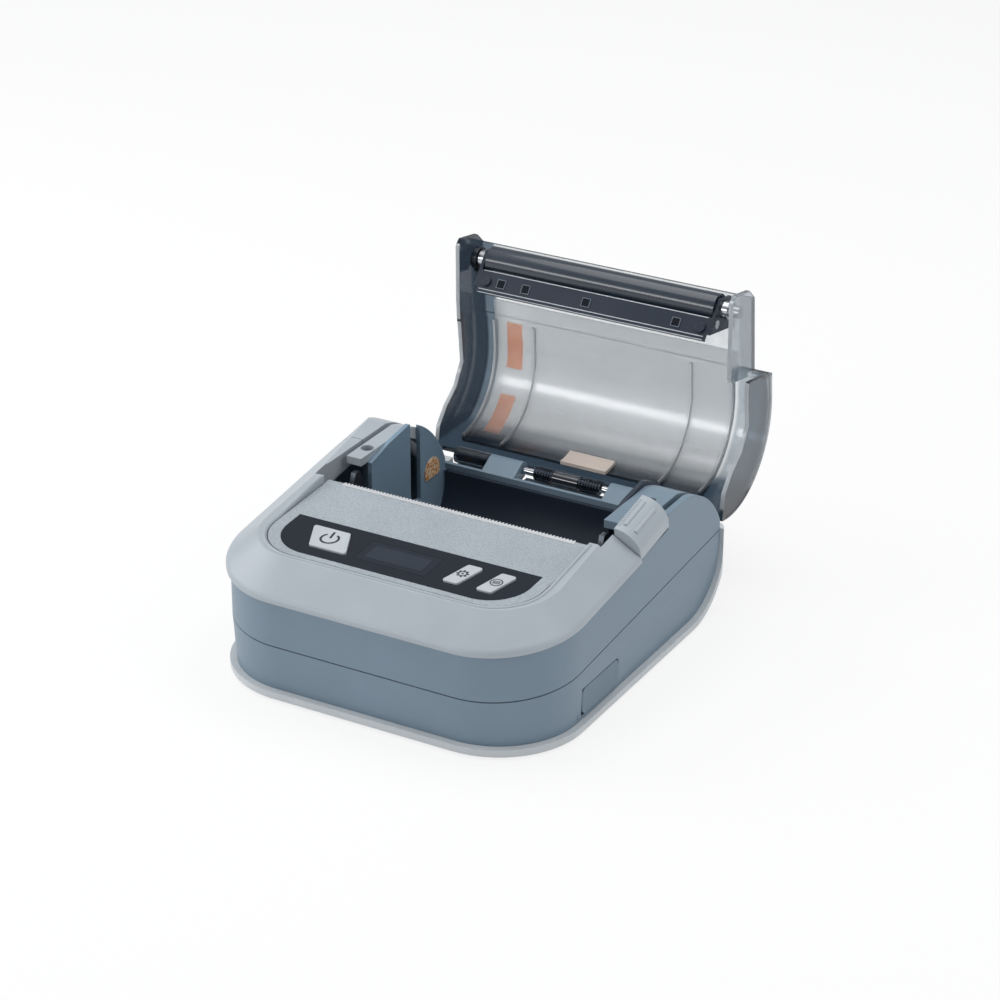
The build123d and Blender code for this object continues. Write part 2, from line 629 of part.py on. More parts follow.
# Lower shell: the darker moulding above the bottom cover, with the hinge knuckles at its rear
with BuildPart() as lower_shell:
    add(body_block(0, COVER_SKIN, DRAFT))
    add(body_block(0, COVER_SKIN), mode=Mode.INTERSECT)
    split(bisect_by=PART_PLANE, keep=Keep.BOTTOM)
    add(body_block(WALL, COVER_SKIN + SHELL_FLOOR), mode=Mode.SUBTRACT)
    with Locations((HALF - WALL, FLAP_Y, FLOOR)):
        Box(
            2 * PORT_PAD,
            FLAP_LENGTH + 2 * WALL,
            FLAP_Z + FLAP_HEIGHT / 2 + WALL - FLOOR,
            align=(Align.CENTER, Align.CENTER, Align.MIN),
        )
    with Locations((PORT_FACE - PORT_BOARD[0] / 2, PORT_Y, FLOOR)):
        Box(
            PORT_BOARD[0],
            PORT_BOARD[1],
            PORT_BOARD_TOP - PORT_BOARD_THICK - SEAT - FLOOR,
            align=(Align.CENTER, Align.CENTER, Align.MIN),
        )
    with BuildSketch(Plane.XY.offset(FOOT_GAP + COVER_SKIN)):
        with Locations((0, FOOT_MIDDLE)):
            with GridLocations(SCREW_SPAN, FOOT_RUN, 2, 2):
                Circle(SCREW_SHANK + SEAT)
    extrude(amount=SHELL_FLOOR, mode=Mode.SUBTRACT)
    for side in (-1, 1):
        with BuildSketch(Plane.YZ.offset(side * KNUCKLE_INNER)):
            with BuildLine():
                wall_y = BODY_REAR - COVER_SKIN - SHELL_FLOOR
                Polyline(
                    (wall_y, BEND_Z - KNUCKLE_RADIUS),
                    (wall_y, part_height(wall_y) - SEAT),
                    (HINGE_Y - KNUCKLE_RADIUS / 2, HINGE_Z + KNUCKLE_RADIUS * cos(radians(30))),
                    (HINGE_Y, HINGE_Z - KNUCKLE_RADIUS),
                    close=True,
                )
            make_face()
            with Locations((HINGE_Y, HINGE_Z)):
                Circle(KNUCKLE_RADIUS)
        extrude(amount=side * (KNUCKLE_JOINT - KNUCKLE_INNER - SEAT))
    with BuildSketch(Plane.YZ):
        with Locations((HINGE_Y, HINGE_Z)):
            Circle(PIN_RADIUS + RUN_FIT)
    extrude(amount=PIN_HALF, both=True, mode=Mode.SUBTRACT)
    with BuildSketch(Plane.YZ.offset(HALF)):
        with Locations((FLAP_Y, FLAP_Z)):
            RectangleRounded(FLAP_LENGTH + 2 * FIT, FLAP_HEIGHT + 2 * FIT, FLAP_HEIGHT / 4)
        with Locations((FLAP_HINGE_Y, FLAP_Z)):
            Rectangle(FLAP_THICK + 2 * FIT, FLAP_HEIGHT + 2 * FIT)
    extrude(amount=FLAP_FACE - FLAP_THICK - SEAT - HALF, mode=Mode.SUBTRACT)
    with BuildSketch(Plane.YZ.offset(HALF)):
        with Locations((PORT_Y, FLAP_Z)):
            RectangleRounded(PORT_WIDTH + 2 * FIT, PORT_HEIGHT + 2 * FIT, PORT_HEIGHT / 4)
    extrude(amount=-WALL - PORT_PAD, mode=Mode.SUBTRACT)
keep(lower_shell, "lower_shell")

# Upper shell: the moulding between the parting line and the bezel, with the two outer ears
with BuildPart() as upper_shell:
    add(body_block(0, 0))
    split(bisect_by=PART_PLANE.offset(REVEAL), keep=Keep.TOP)
    with BuildPart(mode=Mode.PRIVATE) as profile:
        extrude(
            side_face([
                (2 * BODY_FRONT, 0),
                (2 * BODY_FRONT, bezel_height(2 * BODY_FRONT) - SEAT),
                (EAR_FRONT + FIT, bezel_height(EAR_FRONT + FIT) - SEAT),
                (EAR_FRONT + FIT, 0),
            ]),
            amount=BODY_WIDTH,
            both=True,
        )
        extrude(ear_face(Plane.YZ, EAR_FRONT + FIT, 0), amount=BODY_WIDTH, both=True)
    add(profile.part, mode=Mode.INTERSECT)
    add(body_block(WALL, 0), mode=Mode.SUBTRACT)
    with BuildSketch(LEVER_PLANE.offset(FIT)):
        with Locations((LEVER_OUTER, HIGH / 2 - LEVER_GAP)):
            Rectangle(2 * (LEVER_OUTER - LEVER_INNER), HIGH)
    extrude(amount=-LEVER_LENGTH - 2 * FIT, mode=Mode.SUBTRACT)
    with BuildSketch(Plane.XY.offset(REAR_CORNERS[0][1] - FIT)):
        with Locations(((WIDE_INNER + LID_WIDE + FIT) / 2, BODY_REAR)):
            Rectangle(LID_WIDE + FIT - WIDE_INNER, 2 * REAR_CORNER)
    extrude(amount=HIGH, mode=Mode.SUBTRACT)
    add(cap_block(SEAT), mode=Mode.SUBTRACT)
keep(upper_shell, "upper_shell")

# Ear cap: the pale moulding that closes the left ear outside the slot for the lid's wall
with BuildPart() as ear_cap:
    add(body_block(0, 0))
    add(cap_block(0), mode=Mode.INTERSECT)
    add(shoulder_block(0), mode=Mode.INTERSECT)
    split(bisect_by=Plane.YZ.offset(-SLOT_OUTER), keep=Keep.BOTTOM)
keep(ear_cap, "ear_cap")

# Top bezel: the pale rounded frame round the panel, whose left arm runs back to the ear
with BuildPart() as top_bezel:
    add(body_block(-BEZEL_BULGE, 0))
    split(bisect_by=BEZEL_PLANE, keep=Keep.TOP)
    far = 2 * BODY_FRONT
    extrude(
        side_face([
            (far, rail_height(far)),
            (LIP_BEND, rail_height(LIP_BEND)),
            (EAR_FRONT, rail_height(EAR_FRONT)),
            (EAR_FRONT, 0),
            (far, 0),
        ]),
        amount=BODY_WIDTH,
        both=True,
        mode=Mode.INTERSECT,
    )
    add(shoulder_block(0), mode=Mode.INTERSECT)
    with BuildSketch(Plane.YZ):
        with Locations((EAR_FRONT, EAR_TOP + HIGH / 2)):
            Rectangle(2 * (EAR_FRONT - BEZEL_SKIN / 2), HIGH)
    extrude(amount=-BODY_WIDTH, mode=Mode.SUBTRACT)
    with BuildSketch(LEVER_PLANE.offset(FIT)):
        with Locations((BODY_WIDTH / 2, 0)):
            Rectangle(BODY_WIDTH, 2 * HIGH)
    extrude(amount=-HIGH, mode=Mode.SUBTRACT)
    with BuildPart(mode=Mode.PRIVATE) as hollow:
        add(body_block(WALL + BEZEL_BULGE, 0))
        extrude(
            side_face([
                (far, rail_height(far) - BEZEL_SKIN),
                (LIP_BEND, rail_height(LIP_BEND) - BEZEL_SKIN),
                (SLOT_FRONT - BEZEL_SKIN, rail_height(SLOT_FRONT - BEZEL_SKIN) - BEZEL_SKIN),
                (SLOT_FRONT - BEZEL_SKIN, 0),
                (far, 0),
            ]),
            amount=BODY_WIDTH,
            both=True,
            mode=Mode.INTERSECT,
        )
        add(shoulder_block(WALL + BEZEL_BULGE), mode=Mode.INTERSECT)
        extrude(panel_face(PANEL, BEZEL_SKIN), amount=HIGH, both=True, mode=Mode.SUBTRACT)
    add(hollow.part, mode=Mode.SUBTRACT)
    extrude(panel_face(PANEL.offset(-PANEL_THICK), REVEAL), amount=HIGH, mode=Mode.SUBTRACT)
    extrude(panel_face(PANEL, -PANEL_REST), amount=-HIGH, mode=Mode.SUBTRACT)
    with BuildSketch(Plane.XY):
        with Locations((0, SLOT_FRONT + BODY_DEPTH / 2)):
            Rectangle(2 * SLOT_OUTER, BODY_DEPTH)
    extrude(amount=HIGH, mode=Mode.SUBTRACT)
    with BuildSketch(LEVER_PLANE.offset(FIT)):
        with Locations(LEVER_PIN):
            Circle(LEVER_PIN_RADIUS + RUN_FIT)
    extrude(amount=LEVER_PIN_REACH, mode=Mode.SUBTRACT)
keep(top_bezel, "top_bezel")

# Top panel: the grained plate between the window and the tear bar, with posts for the board
with BuildPart() as top_panel:
    extrude(panel_face(PANEL, 0), amount=-PANEL_THICK)
    extrude(window_face(PANEL, 0), amount=-WINDOW_THICK, mode=Mode.SUBTRACT)
    for key_place in KEYS.values():
        extrude(key_face(PANEL, *key_place, SLIDE_FIT), amount=-PANEL_THICK, mode=Mode.SUBTRACT)
    with BuildSketch(PANEL):
        with Locations((0, PANEL_BACK - TEAR_WIDTH / 2)):
            Rectangle(2 * TEAR_HALF + 2 * SEAT, TEAR_WIDTH)
    extrude(amount=-TEAR_THICK, mode=Mode.SUBTRACT)
    with BuildSketch(PANEL.offset(-PANEL_THICK)):
        with Locations((0, (BOARD_FRONT + BOARD_BACK) / 2)):
            with GridLocations(2 * POST_X, BOARD_BACK - BOARD_FRONT - 3 * POST_RADIUS, 2, 2):
                Circle(POST_RADIUS)
    extrude(amount=PANEL_THICK - BOARD_DROP)
keep(top_panel, "top_panel")

# Window: the glossy dark plate that carries the keys and the display
with BuildPart() as display_window:
    extrude(window_face(PANEL, -SEAT), amount=-WINDOW_THICK)
    for key_place in KEYS.values():
        extrude(key_face(PANEL, *key_place, SLIDE_FIT), amount=-WINDOW_THICK, mode=Mode.SUBTRACT)
    extrude(display_face(PANEL, SEAT), amount=-WINDOW_THICK, mode=Mode.SUBTRACT)
keep(display_window, "display_window")

# Display: the small screen inlaid in the window
with BuildPart() as display_module:
    extrude(display_face(PANEL, 0), amount=-WINDOW_THICK)
keep(display_module, "display_module")

# Keys: three slanted caps that each press a switch on the board
for key_name, key_place in KEYS.items():
    with BuildPart() as key_cap:
        extrude(key_face(PANEL.offset(KEY_PROUD), *key_place, 0), amount=-KEY_PROUD - KEY_DEPTH)
        fillet(key_cap.faces().sort_by(Axis.Z)[-1].edges(), KEY_PROUD / 2)
    keep(key_cap, key_name)

# Main board: circuit board with one switch under each key
with BuildPart() as main_board:
    with BuildSketch(PANEL.offset(-BOARD_DROP)):
        with Locations((0, (BOARD_FRONT + BOARD_BACK) / 2)):
            Rectangle(2 * BOARD_HALF, BOARD_BACK - BOARD_FRONT)
    extrude(amount=-BOARD_THICK)
    with BuildSketch(PANEL.offset(-BOARD_DROP)):
        for middle, _, slant in KEYS.values():
            with Locations((middle + slant / 2, KEY_TOP - KEY_LENGTH / 2)):
                Rectangle(SWITCH_SIDE, SWITCH_SIDE)
    extrude(amount=BOARD_DROP - KEY_DEPTH - KEY_TRAVEL - RUN_FIT)
keep(main_board, "main_board")

# Tear bar: thin toothed strip let into the rear edge of the panel
with BuildPart() as tear_bar:
    with BuildSketch(PANEL):
        with BuildLine():
            teeth = round(2 * TEAR_HALF / TOOTH_PITCH)
            step = 2 * TEAR_HALF / teeth
            corners = [(-TEAR_HALF, PANEL_BACK - TEAR_WIDTH + SEAT), (-TEAR_HALF, PANEL_BACK)]
            for tooth in range(teeth):
                left = tooth * step - TEAR_HALF
                corners.append((left + step / 2, PANEL_BACK + TOOTH_LENGTH))
                corners.append((left + step, PANEL_BACK))
            corners.append((TEAR_HALF, PANEL_BACK - TEAR_WIDTH + SEAT))
            Polyline(*corners, close=True)
        make_face()
    extrude(amount=-TEAR_THICK)
keep(tear_bar, "tear_bar")

# Paper bay: the tub that the roll drops into, with ear-shaped side walls
with BuildPart() as paper_bay:
    bay_skin = COVER_SKIN + SHELL_FLOOR + SEAT
    reach = REAR_BEND - bay_skin
    low = (BEND_Y, FOOT_GAP + bay_skin)
    high = (BEND_Y + reach, BEND_Z)
    with BuildSketch(Plane.YZ):
        with BuildLine():
            RadiusArc(low, high, -reach)
            Line(high, (BEND_Y + reach, EAR_FOOT[1]))
            ThreePointArc((BEND_Y + reach, EAR_FOOT[1]), EAR_SHOULDER, (EAR_BACK, EAR_CREST))
            Polyline(
                (EAR_BACK, EAR_CREST),
                (EAR_BACK - 2 * GUIDE_SLOT_WIDTH, EAR_TOP),
                (BAY_FRONT - BAY_WALL, EAR_TOP - LEDGE_SKIN),
                (BAY_FRONT - BAY_WALL, low[1]),
                low,
            )
        make_face()
    extrude(amount=BAY_OUTER, both=True)
    inner = reach - BAY_WALL
    in_low = (BEND_Y, low[1] + BAY_WALL)
    in_high = (BEND_Y + inner, BEND_Z)
    with BuildSketch(Plane.YZ) as inside:
        with BuildLine():
            RadiusArc(in_low, in_high, -inner)
            Polyline(
                in_high,
                (BEND_Y + inner, BAY_REAR_TOP),
                (BODY_DEPTH, BAY_REAR_TOP),
                (BODY_DEPTH, HIGH),
                (0, HIGH),
                (0, BAY_FRONT_TOP),
                (BAY_FRONT, BAY_FRONT_TOP),
                (BAY_FRONT, in_low[1]),
                in_low,
            )
        make_face()
    extrude(amount=BAY_HALF, both=True, mode=Mode.SUBTRACT)
    with BuildSketch(Plane.YZ.offset(-BAY_OUTER)):
        with Locations((GUIDE_SLOT_Y, GUIDE_SLOT_FLOOR + HIGH / 2)):
            Rectangle(GUIDE_SLOT_WIDTH, HIGH)
    extrude(amount=BAY_WALL, mode=Mode.SUBTRACT)
keep(paper_bay, "paper_bay")

# Sticker: a small round-topped label on the bay's left wall
with BuildPart() as bay_sticker:
    with BuildSketch(Plane.YZ.offset(-BAY_HALF)):
        with Locations((STICKER_Y, STICKER_Z)):
            Circle(STICKER_RADIUS)
        with Locations((STICKER_Y, STICKER_Z - STICKER_RADIUS)):
            Rectangle(2 * STICKER_RADIUS, STICKER_RADIUS, mode=Mode.SUBTRACT)
    extrude(amount=STRIPE_THICK)
keep(bay_sticker, "bay_sticker")

# Ledges: the mouldings that close the top between the bay and the outer ears
for side, ledge_name in ((-1, "left_ledge"), (1, "right_ledge")):
    with BuildPart() as ledge:
        side_plane = Plane.YZ.offset(side * (BAY_OUTER + SEAT))
        reach_out = WIDE_INNER if side > 0 else SLOT_INNER
        width = side * (reach_out - BAY_OUTER - SEAT)
        extrude(ear_face(side_plane, LEDGE_FRONT, 0), amount=width)
        extrude(ear_face(side_plane, LEDGE_FRONT, LEDGE_SKIN), amount=width, mode=Mode.SUBTRACT)
        split(bisect_by=PART_PLANE.offset(REVEAL), keep=Keep.TOP)
        with BuildSketch(Plane.XY):
            with Locations((side * (SLOT_INNER + SLOT_OUTER) / 2, (LEDGE_FRONT + LEDGE_STEP) / 2)):
                Rectangle(SLOT_OUTER - SLOT_INNER, LEDGE_STEP - LEDGE_FRONT)
            with Locations((side * (SLOT_OUTER + LID_WIDE) / 2, (LEDGE_FRONT + EAR_FRONT + FIT) / 2)):
                Rectangle(LID_WIDE - SLOT_OUTER, EAR_FRONT + FIT - LEDGE_FRONT)
        extrude(amount=HIGH, mode=Mode.SUBTRACT)
        if side < 0:
            with Locations((-LEDGE_HOLE_X, LEDGE_HOLE_Y, EAR_TOP)):
                Hole(LEDGE_HOLE, depth=2 * LEDGE_SKIN)
        else:
            with BuildSketch(LEVER_PLANE.offset(-LEVER_LENGTH - FIT)):
                with Locations(LEVER_PIN):
                    Circle(LEVER_PIN_RADIUS + RUN_FIT)
            extrude(amount=-LEVER_PIN_REACH, mode=Mode.SUBTRACT)
    keep(ledge, ledge_name)

# Mechanism frame: two steel cradle plates that take the platen's bushes, joined by two bars
with BuildPart() as mechanism_frame:
    for side in (-1, 1):
        extrude(
            side_face([
                (CRADLE_FRONT, FLOOR + SEAT),
                *CRADLE_CORNERS,
                (CRADLE_REAR, FLOOR + SEAT),
            ]).moved(Location((side * CRADLE, 0, 0))),
            amount=side * CRADLE_THICK,
            dir=(1, 0, 0),
        )
        foot_x = side * (CRADLE - CRADLE_FOOT / 2)
        with Locations((foot_x, (CRADLE_FRONT + CRADLE_REAR) / 2, FLOOR + SEAT)):
            Box(
                CRADLE_FOOT,
                CRADLE_REAR - CRADLE_FRONT,
                CRADLE_THICK,
                align=(Align.CENTER, Align.CENTER, Align.MIN),
            )
    with BuildSketch(Plane.YZ):
        with Locations(CRADLE_BAR):
            Rectangle(*CRADLE_BAR_SIZE)
    extrude(amount=CRADLE, both=True)
    with BuildSketch(HEAD_PLANE.offset(-PRESS_DROP)):
        with Locations((0, HEAD_SPRING_V)):
            Rectangle(2 * CRADLE, PRESS_BAR_WIDTH)
    extrude(amount=-PRESS_BAR)
    with BuildSketch(Plane.YZ):
        with Locations((PLATEN_Y, PLATEN_Z)):
            Circle(BUSH_RADIUS + NOTCH_FIT)
        with BuildLine():
            Polyline(
                (PLATEN_Y - BUSH_RADIUS - NOTCH_FIT, PLATEN_Z),
                *NOTCH_TOP,
                (PLATEN_Y + BUSH_RADIUS + NOTCH_FIT, PLATEN_Z),
                close=True,
            )
        make_face()
    extrude(amount=HALF, both=True, mode=Mode.SUBTRACT)
    with BuildSketch(Plane.YZ):
        with Locations((IDLER_Y, IDLER_Z)):
            Circle(AXLE_RADIUS + RUN_FIT)
        with Locations((PINION_Y, PINION_Z)):
            Circle(2 * AXLE_RADIUS)
    extrude(amount=-HALF, mode=Mode.SUBTRACT)
keep(mechanism_frame, "mechanism_frame")

# Thermal head: the plate that the platen presses on, with its heatsink and three springs
with BuildPart() as thermal_head:
    with BuildSketch(HEAD_PLANE):
        with Locations((0, (HEAD_FRONT + HEAD_REAR) / 2)):
            Rectangle(2 * HEAD_HALF, HEAD_REAR - HEAD_FRONT)
    extrude(amount=-HEAD_THICK)
keep(thermal_head, "thermal_head")

with BuildPart() as head_heatsink:
    with BuildSketch(HEAD_PLANE.offset(-SINK_DROP)):
        with Locations((0, (HEAD_FRONT + HEAD_REAR) / 2)):
            Rectangle(2 * HEAD_HALF - HEAD_THICK, HEAD_REAR - HEAD_FRONT)
    extrude(amount=-SINK_THICK)
keep(head_heatsink, "head_heatsink")

with BuildPart() as head_springs:
    with BuildSketch(HEAD_PLANE.offset(-SPRING_DROP)):
        for spring_x in HEAD_SPRING_X:
            with Locations((spring_x, HEAD_SPRING_V)):
                Circle(HEAD_SPRING_RADIUS)
                Circle(HEAD_SPRING_RADIUS - SPRING_WIRE, mode=Mode.SUBTRACT)
    extrude(amount=-HEAD_SPRING)
keep(head_springs, "head_springs")

# Drive: stepper motor, its pinion and the idler that meets the platen's gear when the lid is shut
with BuildPart() as stepper_motor:
    with BuildSketch(Plane.YZ.offset(-CRADLE + SEAT)):
        with Locations((PINION_Y, PINION_Z)):
            Circle(MOTOR_RADIUS)
    extrude(amount=MOTOR_LENGTH)
    with BuildSketch(Plane.YZ.offset(-CRADLE + SEAT)):
        with Locations((PINION_Y, PINION_Z)):
            SlotOverall(3 * MOTOR_RADIUS, MOTOR_RADIUS, rotation=MOTOR_TILT)
    extrude(amount=MOTOR_FLANGE)
    with BuildSketch(Plane.YZ.offset(-CRADLE + SEAT)):
        with Locations((PINION_Y, PINION_Z)):
            Circle(AXLE_RADIUS + RUN_FIT)
    extrude(amount=MOTOR_LENGTH / 2, mode=Mode.SUBTRACT)
keep(stepper_motor, "stepper_motor")

with BuildPart() as motor_pinion:
    with Locations(Location((-GEAR_PLANE, PINION_Y, PINION_Z), (PINION_TURN, 0, 0))):
        add(gear(PINION_TEETH, 0))
    with BuildSketch(Plane.YZ.offset(-GEAR_PLANE)):
        with Locations((PINION_Y, PINION_Z)):
            Circle(AXLE_RADIUS)
    extrude(amount=MOTOR_LENGTH / 2)
keep(motor_pinion, "motor_pinion")

with BuildPart() as idler_gear:
    with Locations((-GEAR_PLANE, IDLER_Y, IDLER_Z)):
        add(gear(IDLER_TEETH, AXLE_RADIUS + RUN_FIT))
keep(idler_gear, "idler_gear")

with BuildPart() as idler_axle:
    with BuildSketch(Plane.YZ.offset(-CRADLE)):
        with Locations((IDLER_Y, IDLER_Z)):
            Circle(AXLE_RADIUS)
    extrude(amount=CRADLE - GEAR_PLANE - GEAR_WIDTH - FIT)
keep(idler_axle, "idler_axle")

# Battery: the pack that lies on the floor in the front of the body
with BuildPart() as battery_pack:
    with Locations((0, BATTERY_FRONT + BATTERY_SIZE[1] / 2, FLOOR + SEAT)):
        Box(*BATTERY_SIZE, align=(Align.CENTER, Align.CENTER, Align.MIN))
    fillet(battery_pack.edges().filter_by(Axis.X), SHOULDER_ROUND)
keep(battery_pack, "battery_pack")

# Charging port: small board and socket behind the rubber flap in the right side
with BuildPart() as port_board:
    with Locations((PORT_FACE - PORT_BOARD[0] / 2, PORT_Y, PORT_BOARD_TOP)):
        Box(*PORT_BOARD, PORT_BOARD_THICK, align=(Align.CENTER, Align.CENTER, Align.MAX))
keep(port_board, "port_board")

with BuildPart() as usb_port:
    with BuildSketch(Plane.YZ.offset(PORT_FACE)):
        with Locations((PORT_Y, FLAP_Z)):
            RectangleRounded(PORT_WIDTH, PORT_HEIGHT, PORT_HEIGHT / 2 - SEAT)
    extrude(amount=-PORT_DEPTH)
    with BuildSketch(Plane.YZ.offset(PORT_FACE)):
        with Locations((PORT_Y, FLAP_Z)):
            RectangleRounded(
                PORT_WIDTH - 2 * PORT_SHELL, PORT_HEIGHT - 2 * PORT_SHELL, PORT_HEIGHT / 2 - PORT_SHELL - SEAT
            )
            Rectangle(PORT_TONGUE[0], PORT_TONGUE[1], mode=Mode.SUBTRACT)
    extrude(amount=-PORT_TONGUE[2], mode=Mode.SUBTRACT)
keep(usb_port, "usb_port")

with BuildPart() as port_flap:
    with BuildSketch(Plane.XY.offset(FLAP_Z)):
        with Locations((FLAP_FACE - FLAP_THICK / 2, FLAP_HINGE_Y)):
            Circle(FLAP_THICK / 2)
            Rectangle(
                FLAP_THICK,
                FLAP_Y + FLAP_LENGTH / 2 - FLAP_HINGE_Y,
                align=(Align.CENTER, Align.MIN),
            )
    extrude(amount=FLAP_HEIGHT / 2, both=True)
    with BuildSketch(Plane.YZ.offset(FLAP_FACE - FLAP_THICK)):
        with Locations((FLAP_Y, FLAP_Z)):
            RectangleRounded(FLAP_LENGTH, FLAP_HEIGHT, FLAP_HEIGHT / 4)
    extrude(amount=FLAP_THICK, mode=Mode.INTERSECT)
    with BuildSketch(Plane.YZ.offset(FLAP_FACE - FLAP_THICK)):
        with Locations((PORT_Y, FLAP_Z)):
            RectangleRounded(PORT_WIDTH, PORT_HEIGHT, PORT_HEIGHT / 4)
    extrude(amount=-PLUG_LENGTH)
keep(port_flap, "port_flap")

# Release lever: the pale rocker in the right rail, with two finger ridges along it
with BuildPart() as release_lever:
    with BuildSketch(LEVER_PLANE):
        with BuildLine():
            Polyline((LEVER_OUTER, LEVER_LIP), (LEVER_OUTER, 0), (LEVER_INNER, 0), (LEVER_INNER, LEVER_CREST))
            ThreePointArc((LEVER_INNER, LEVER_CREST), LEVER_BROW, (LEVER_OUTER, LEVER_LIP))
        make_face()
        with Locations(LEVER_PIN):
            Circle(LEVER_PIN_RADIUS + RUN_FIT, mode=Mode.SUBTRACT)
    extrude(amount=-LEVER_LENGTH)
    for ridge in LEVER_RIDGES:
        with BuildSketch(LEVER_PLANE.offset((RIDGE_LENGTH - LEVER_LENGTH) / 2)):
            with Locations(ridge):
                Circle(RIDGE_RADIUS)
        extrude(amount=-RIDGE_LENGTH)
keep(release_lever, "release_lever")

with BuildPart() as lever_pin:
    with BuildSketch(LEVER_PLANE.offset(FIT + LEVER_PIN_REACH - SEAT)):
        with Locations(LEVER_PIN):
            Circle(LEVER_PIN_RADIUS)
    extrude(amount=-LEVER_LENGTH - 2 * (FIT + LEVER_PIN_REACH - SEAT))
keep(lever_pin, "lever_pin")

# Hinge: the pin through all knuckles and the two torsion springs wound round it
with BuildPart() as hinge_pin:
    with BuildSketch(Plane.YZ):
        with Locations((HINGE_Y, HINGE_Z)):
            Circle(PIN_RADIUS)
    extrude(amount=PIN_HALF, both=True)
keep(hinge_pin, "hinge_pin")

with BuildPart() as torsion_springs:
    coil_radius = SPRING_RADIUS - SPRING_WIRE / 2
    for start, end in SPRING_SPANS:
        with BuildLine() as coil:
            Helix(
                pitch=SPRING_PITCH,
                height=end - start - SPRING_WIRE,
                radius=coil_radius,
                center=(start + SPRING_WIRE / 2, HINGE_Y, HINGE_Z),
                direction=(1, 0, 0),
            )
        with BuildSketch(Plane(coil.line @ 0, z_dir=coil.line % 0)):
            Circle(SPRING_WIRE / 2)
        sweep(path=coil.line, is_frenet=True)
keep(torsion_springs, "torsion_springs")

# Lid: the smoke-coloured cover with deep side walls, wider behind the step than in front of it
with BuildPart() as lid_shell:
    extrude(dome_sheet(DOME_RADIUS, WIDE_RADIUS, LID_STEP, DOME_END), amount=LID_WIDE)
    extrude(dome_sheet(DOME_RADIUS, WIDE_RADIUS, LID_STEP, DOME_END), amount=-LID_NARROW)
    web = LID_STEP + SIDE_WALL
    extrude(
        side_face([
            dome_front(NARROW_RADIUS, LID_FRONT),
            dome_front(NARROW_RADIUS, web),
            dome_front(INNER_RADIUS, web),
            dome_front(INNER_RADIUS, LID_FRONT),
        ]),
        amount=LID_NARROW,
        both=True,
    )
    with Locations(((LID_NARROW - SIDE_WALL + LID_WIDE) / 2, LID_STEP + SIDE_WALL / 2, WEB_BOTTOM)):
        Box(
            LID_WIDE - LID_NARROW + SIDE_WALL,
            SIDE_WALL,
            dome_front(WIDE_RADIUS, LID_STEP)[1] - WEB_BOTTOM,
            align=(Align.CENTER, Align.CENTER, Align.MIN),
        )
    for side, rear_edge in ((-1, LID_NARROW), (1, LID_WIDE)):
        extrude(
            side_face([
                dome_front(DOME_RADIUS, LID_STEP),
                dome_front(DOME_RADIUS, web),
                dome_front(INNER_RADIUS, web),
                dome_front(INNER_RADIUS, LID_STEP),
            ]),
            amount=side * rear_edge,
            dir=(1, 0, 0),
        )
        with BuildSketch(Plane.YZ.offset(side * LID_NARROW)) as narrow_wall:
            with BuildLine():
                Polyline(
                    dome_front(NARROW_RADIUS, LID_FRONT),
                    dome_front(NARROW_RADIUS, web),
                    *NARROW_CORNERS,
                    close=True,
                )
            make_face()
            fillet(narrow_wall.vertices().sort_by(Axis.Y)[:4], WALL_CORNER)
        extrude(amount=-side * SIDE_WALL)
        with BuildSketch(Plane.YZ.offset(side * rear_edge)) as rear_wall:
            with BuildLine():
                Line(dome_front(DOME_RADIUS, LID_STEP), dome_point(DOME_RADIUS, 90 + DOME_SLOPE))
                ThreePointArc(
                    dome_point(DOME_RADIUS, 90 + DOME_SLOPE),
                    dome_point(DOME_RADIUS, 45),
                    dome_point(DOME_RADIUS, DOME_END),
                )
                Polyline(
                    dome_point(DOME_RADIUS, DOME_END),
                    *REAR_CORNERS,
                    WIDE_FOOT,
                    dome_front(DOME_RADIUS, LID_STEP),
                )
            make_face()
            fillet(rear_wall.vertices().sort_by(Axis.Y)[2:7], WALL_CORNER)
        extrude(amount=-side * SIDE_WALL)
        extrude(
            dome_strip(DOME_RADIUS, WIDE_RADIUS, 2 * DOME_END, -DOME_END / 2).moved(
                Location((side * (KNUCKLE_JOINT + SEAT), 0, 0))
            ),
            amount=side * (KNUCKLE_OUTER - KNUCKLE_JOINT - SEAT),
            dir=(1, 0, 0),
        )
        with BuildSketch(Plane.YZ.offset(side * (KNUCKLE_JOINT + SEAT))):
            with Locations((HINGE_Y, HINGE_Z)):
                Circle(KNUCKLE_RADIUS)
        extrude(amount=side * (KNUCKLE_OUTER - KNUCKLE_JOINT - SEAT))
    with BuildSketch(Plane.YZ):
        with Locations((HINGE_Y, HINGE_Z)):
            Circle(PIN_RADIUS + RUN_FIT)
    extrude(amount=PIN_HALF + SEAT, both=True, mode=Mode.SUBTRACT)
keep_open(lid_shell, "lid_shell")

# Liner: the clear inner skin of the lid with its stiffening ribs
with BuildPart() as lid_liner:
    outer = INNER_RADIUS - SEAT
    inner = outer - LINER_THICK
    extrude(dome_sheet(outer, inner, LINER_FRONT, LINER_END), amount=LINER_HALF, both=True)
    for rib_x in (-LINER_HALF, -LINER_INNER_RIB, LINER_INNER_RIB - LINER_RIB, LINER_HALF - LINER_RIB):
        place = Location((rib_x, 0, 0))
        extrude(
            dome_sheet(outer, inner - LINER_RIB_DEPTH, LINER_RIB_FRONT, LINER_END).moved(place),
            amount=LINER_RIB,
        )
keep_open(lid_liner, "lid_liner")

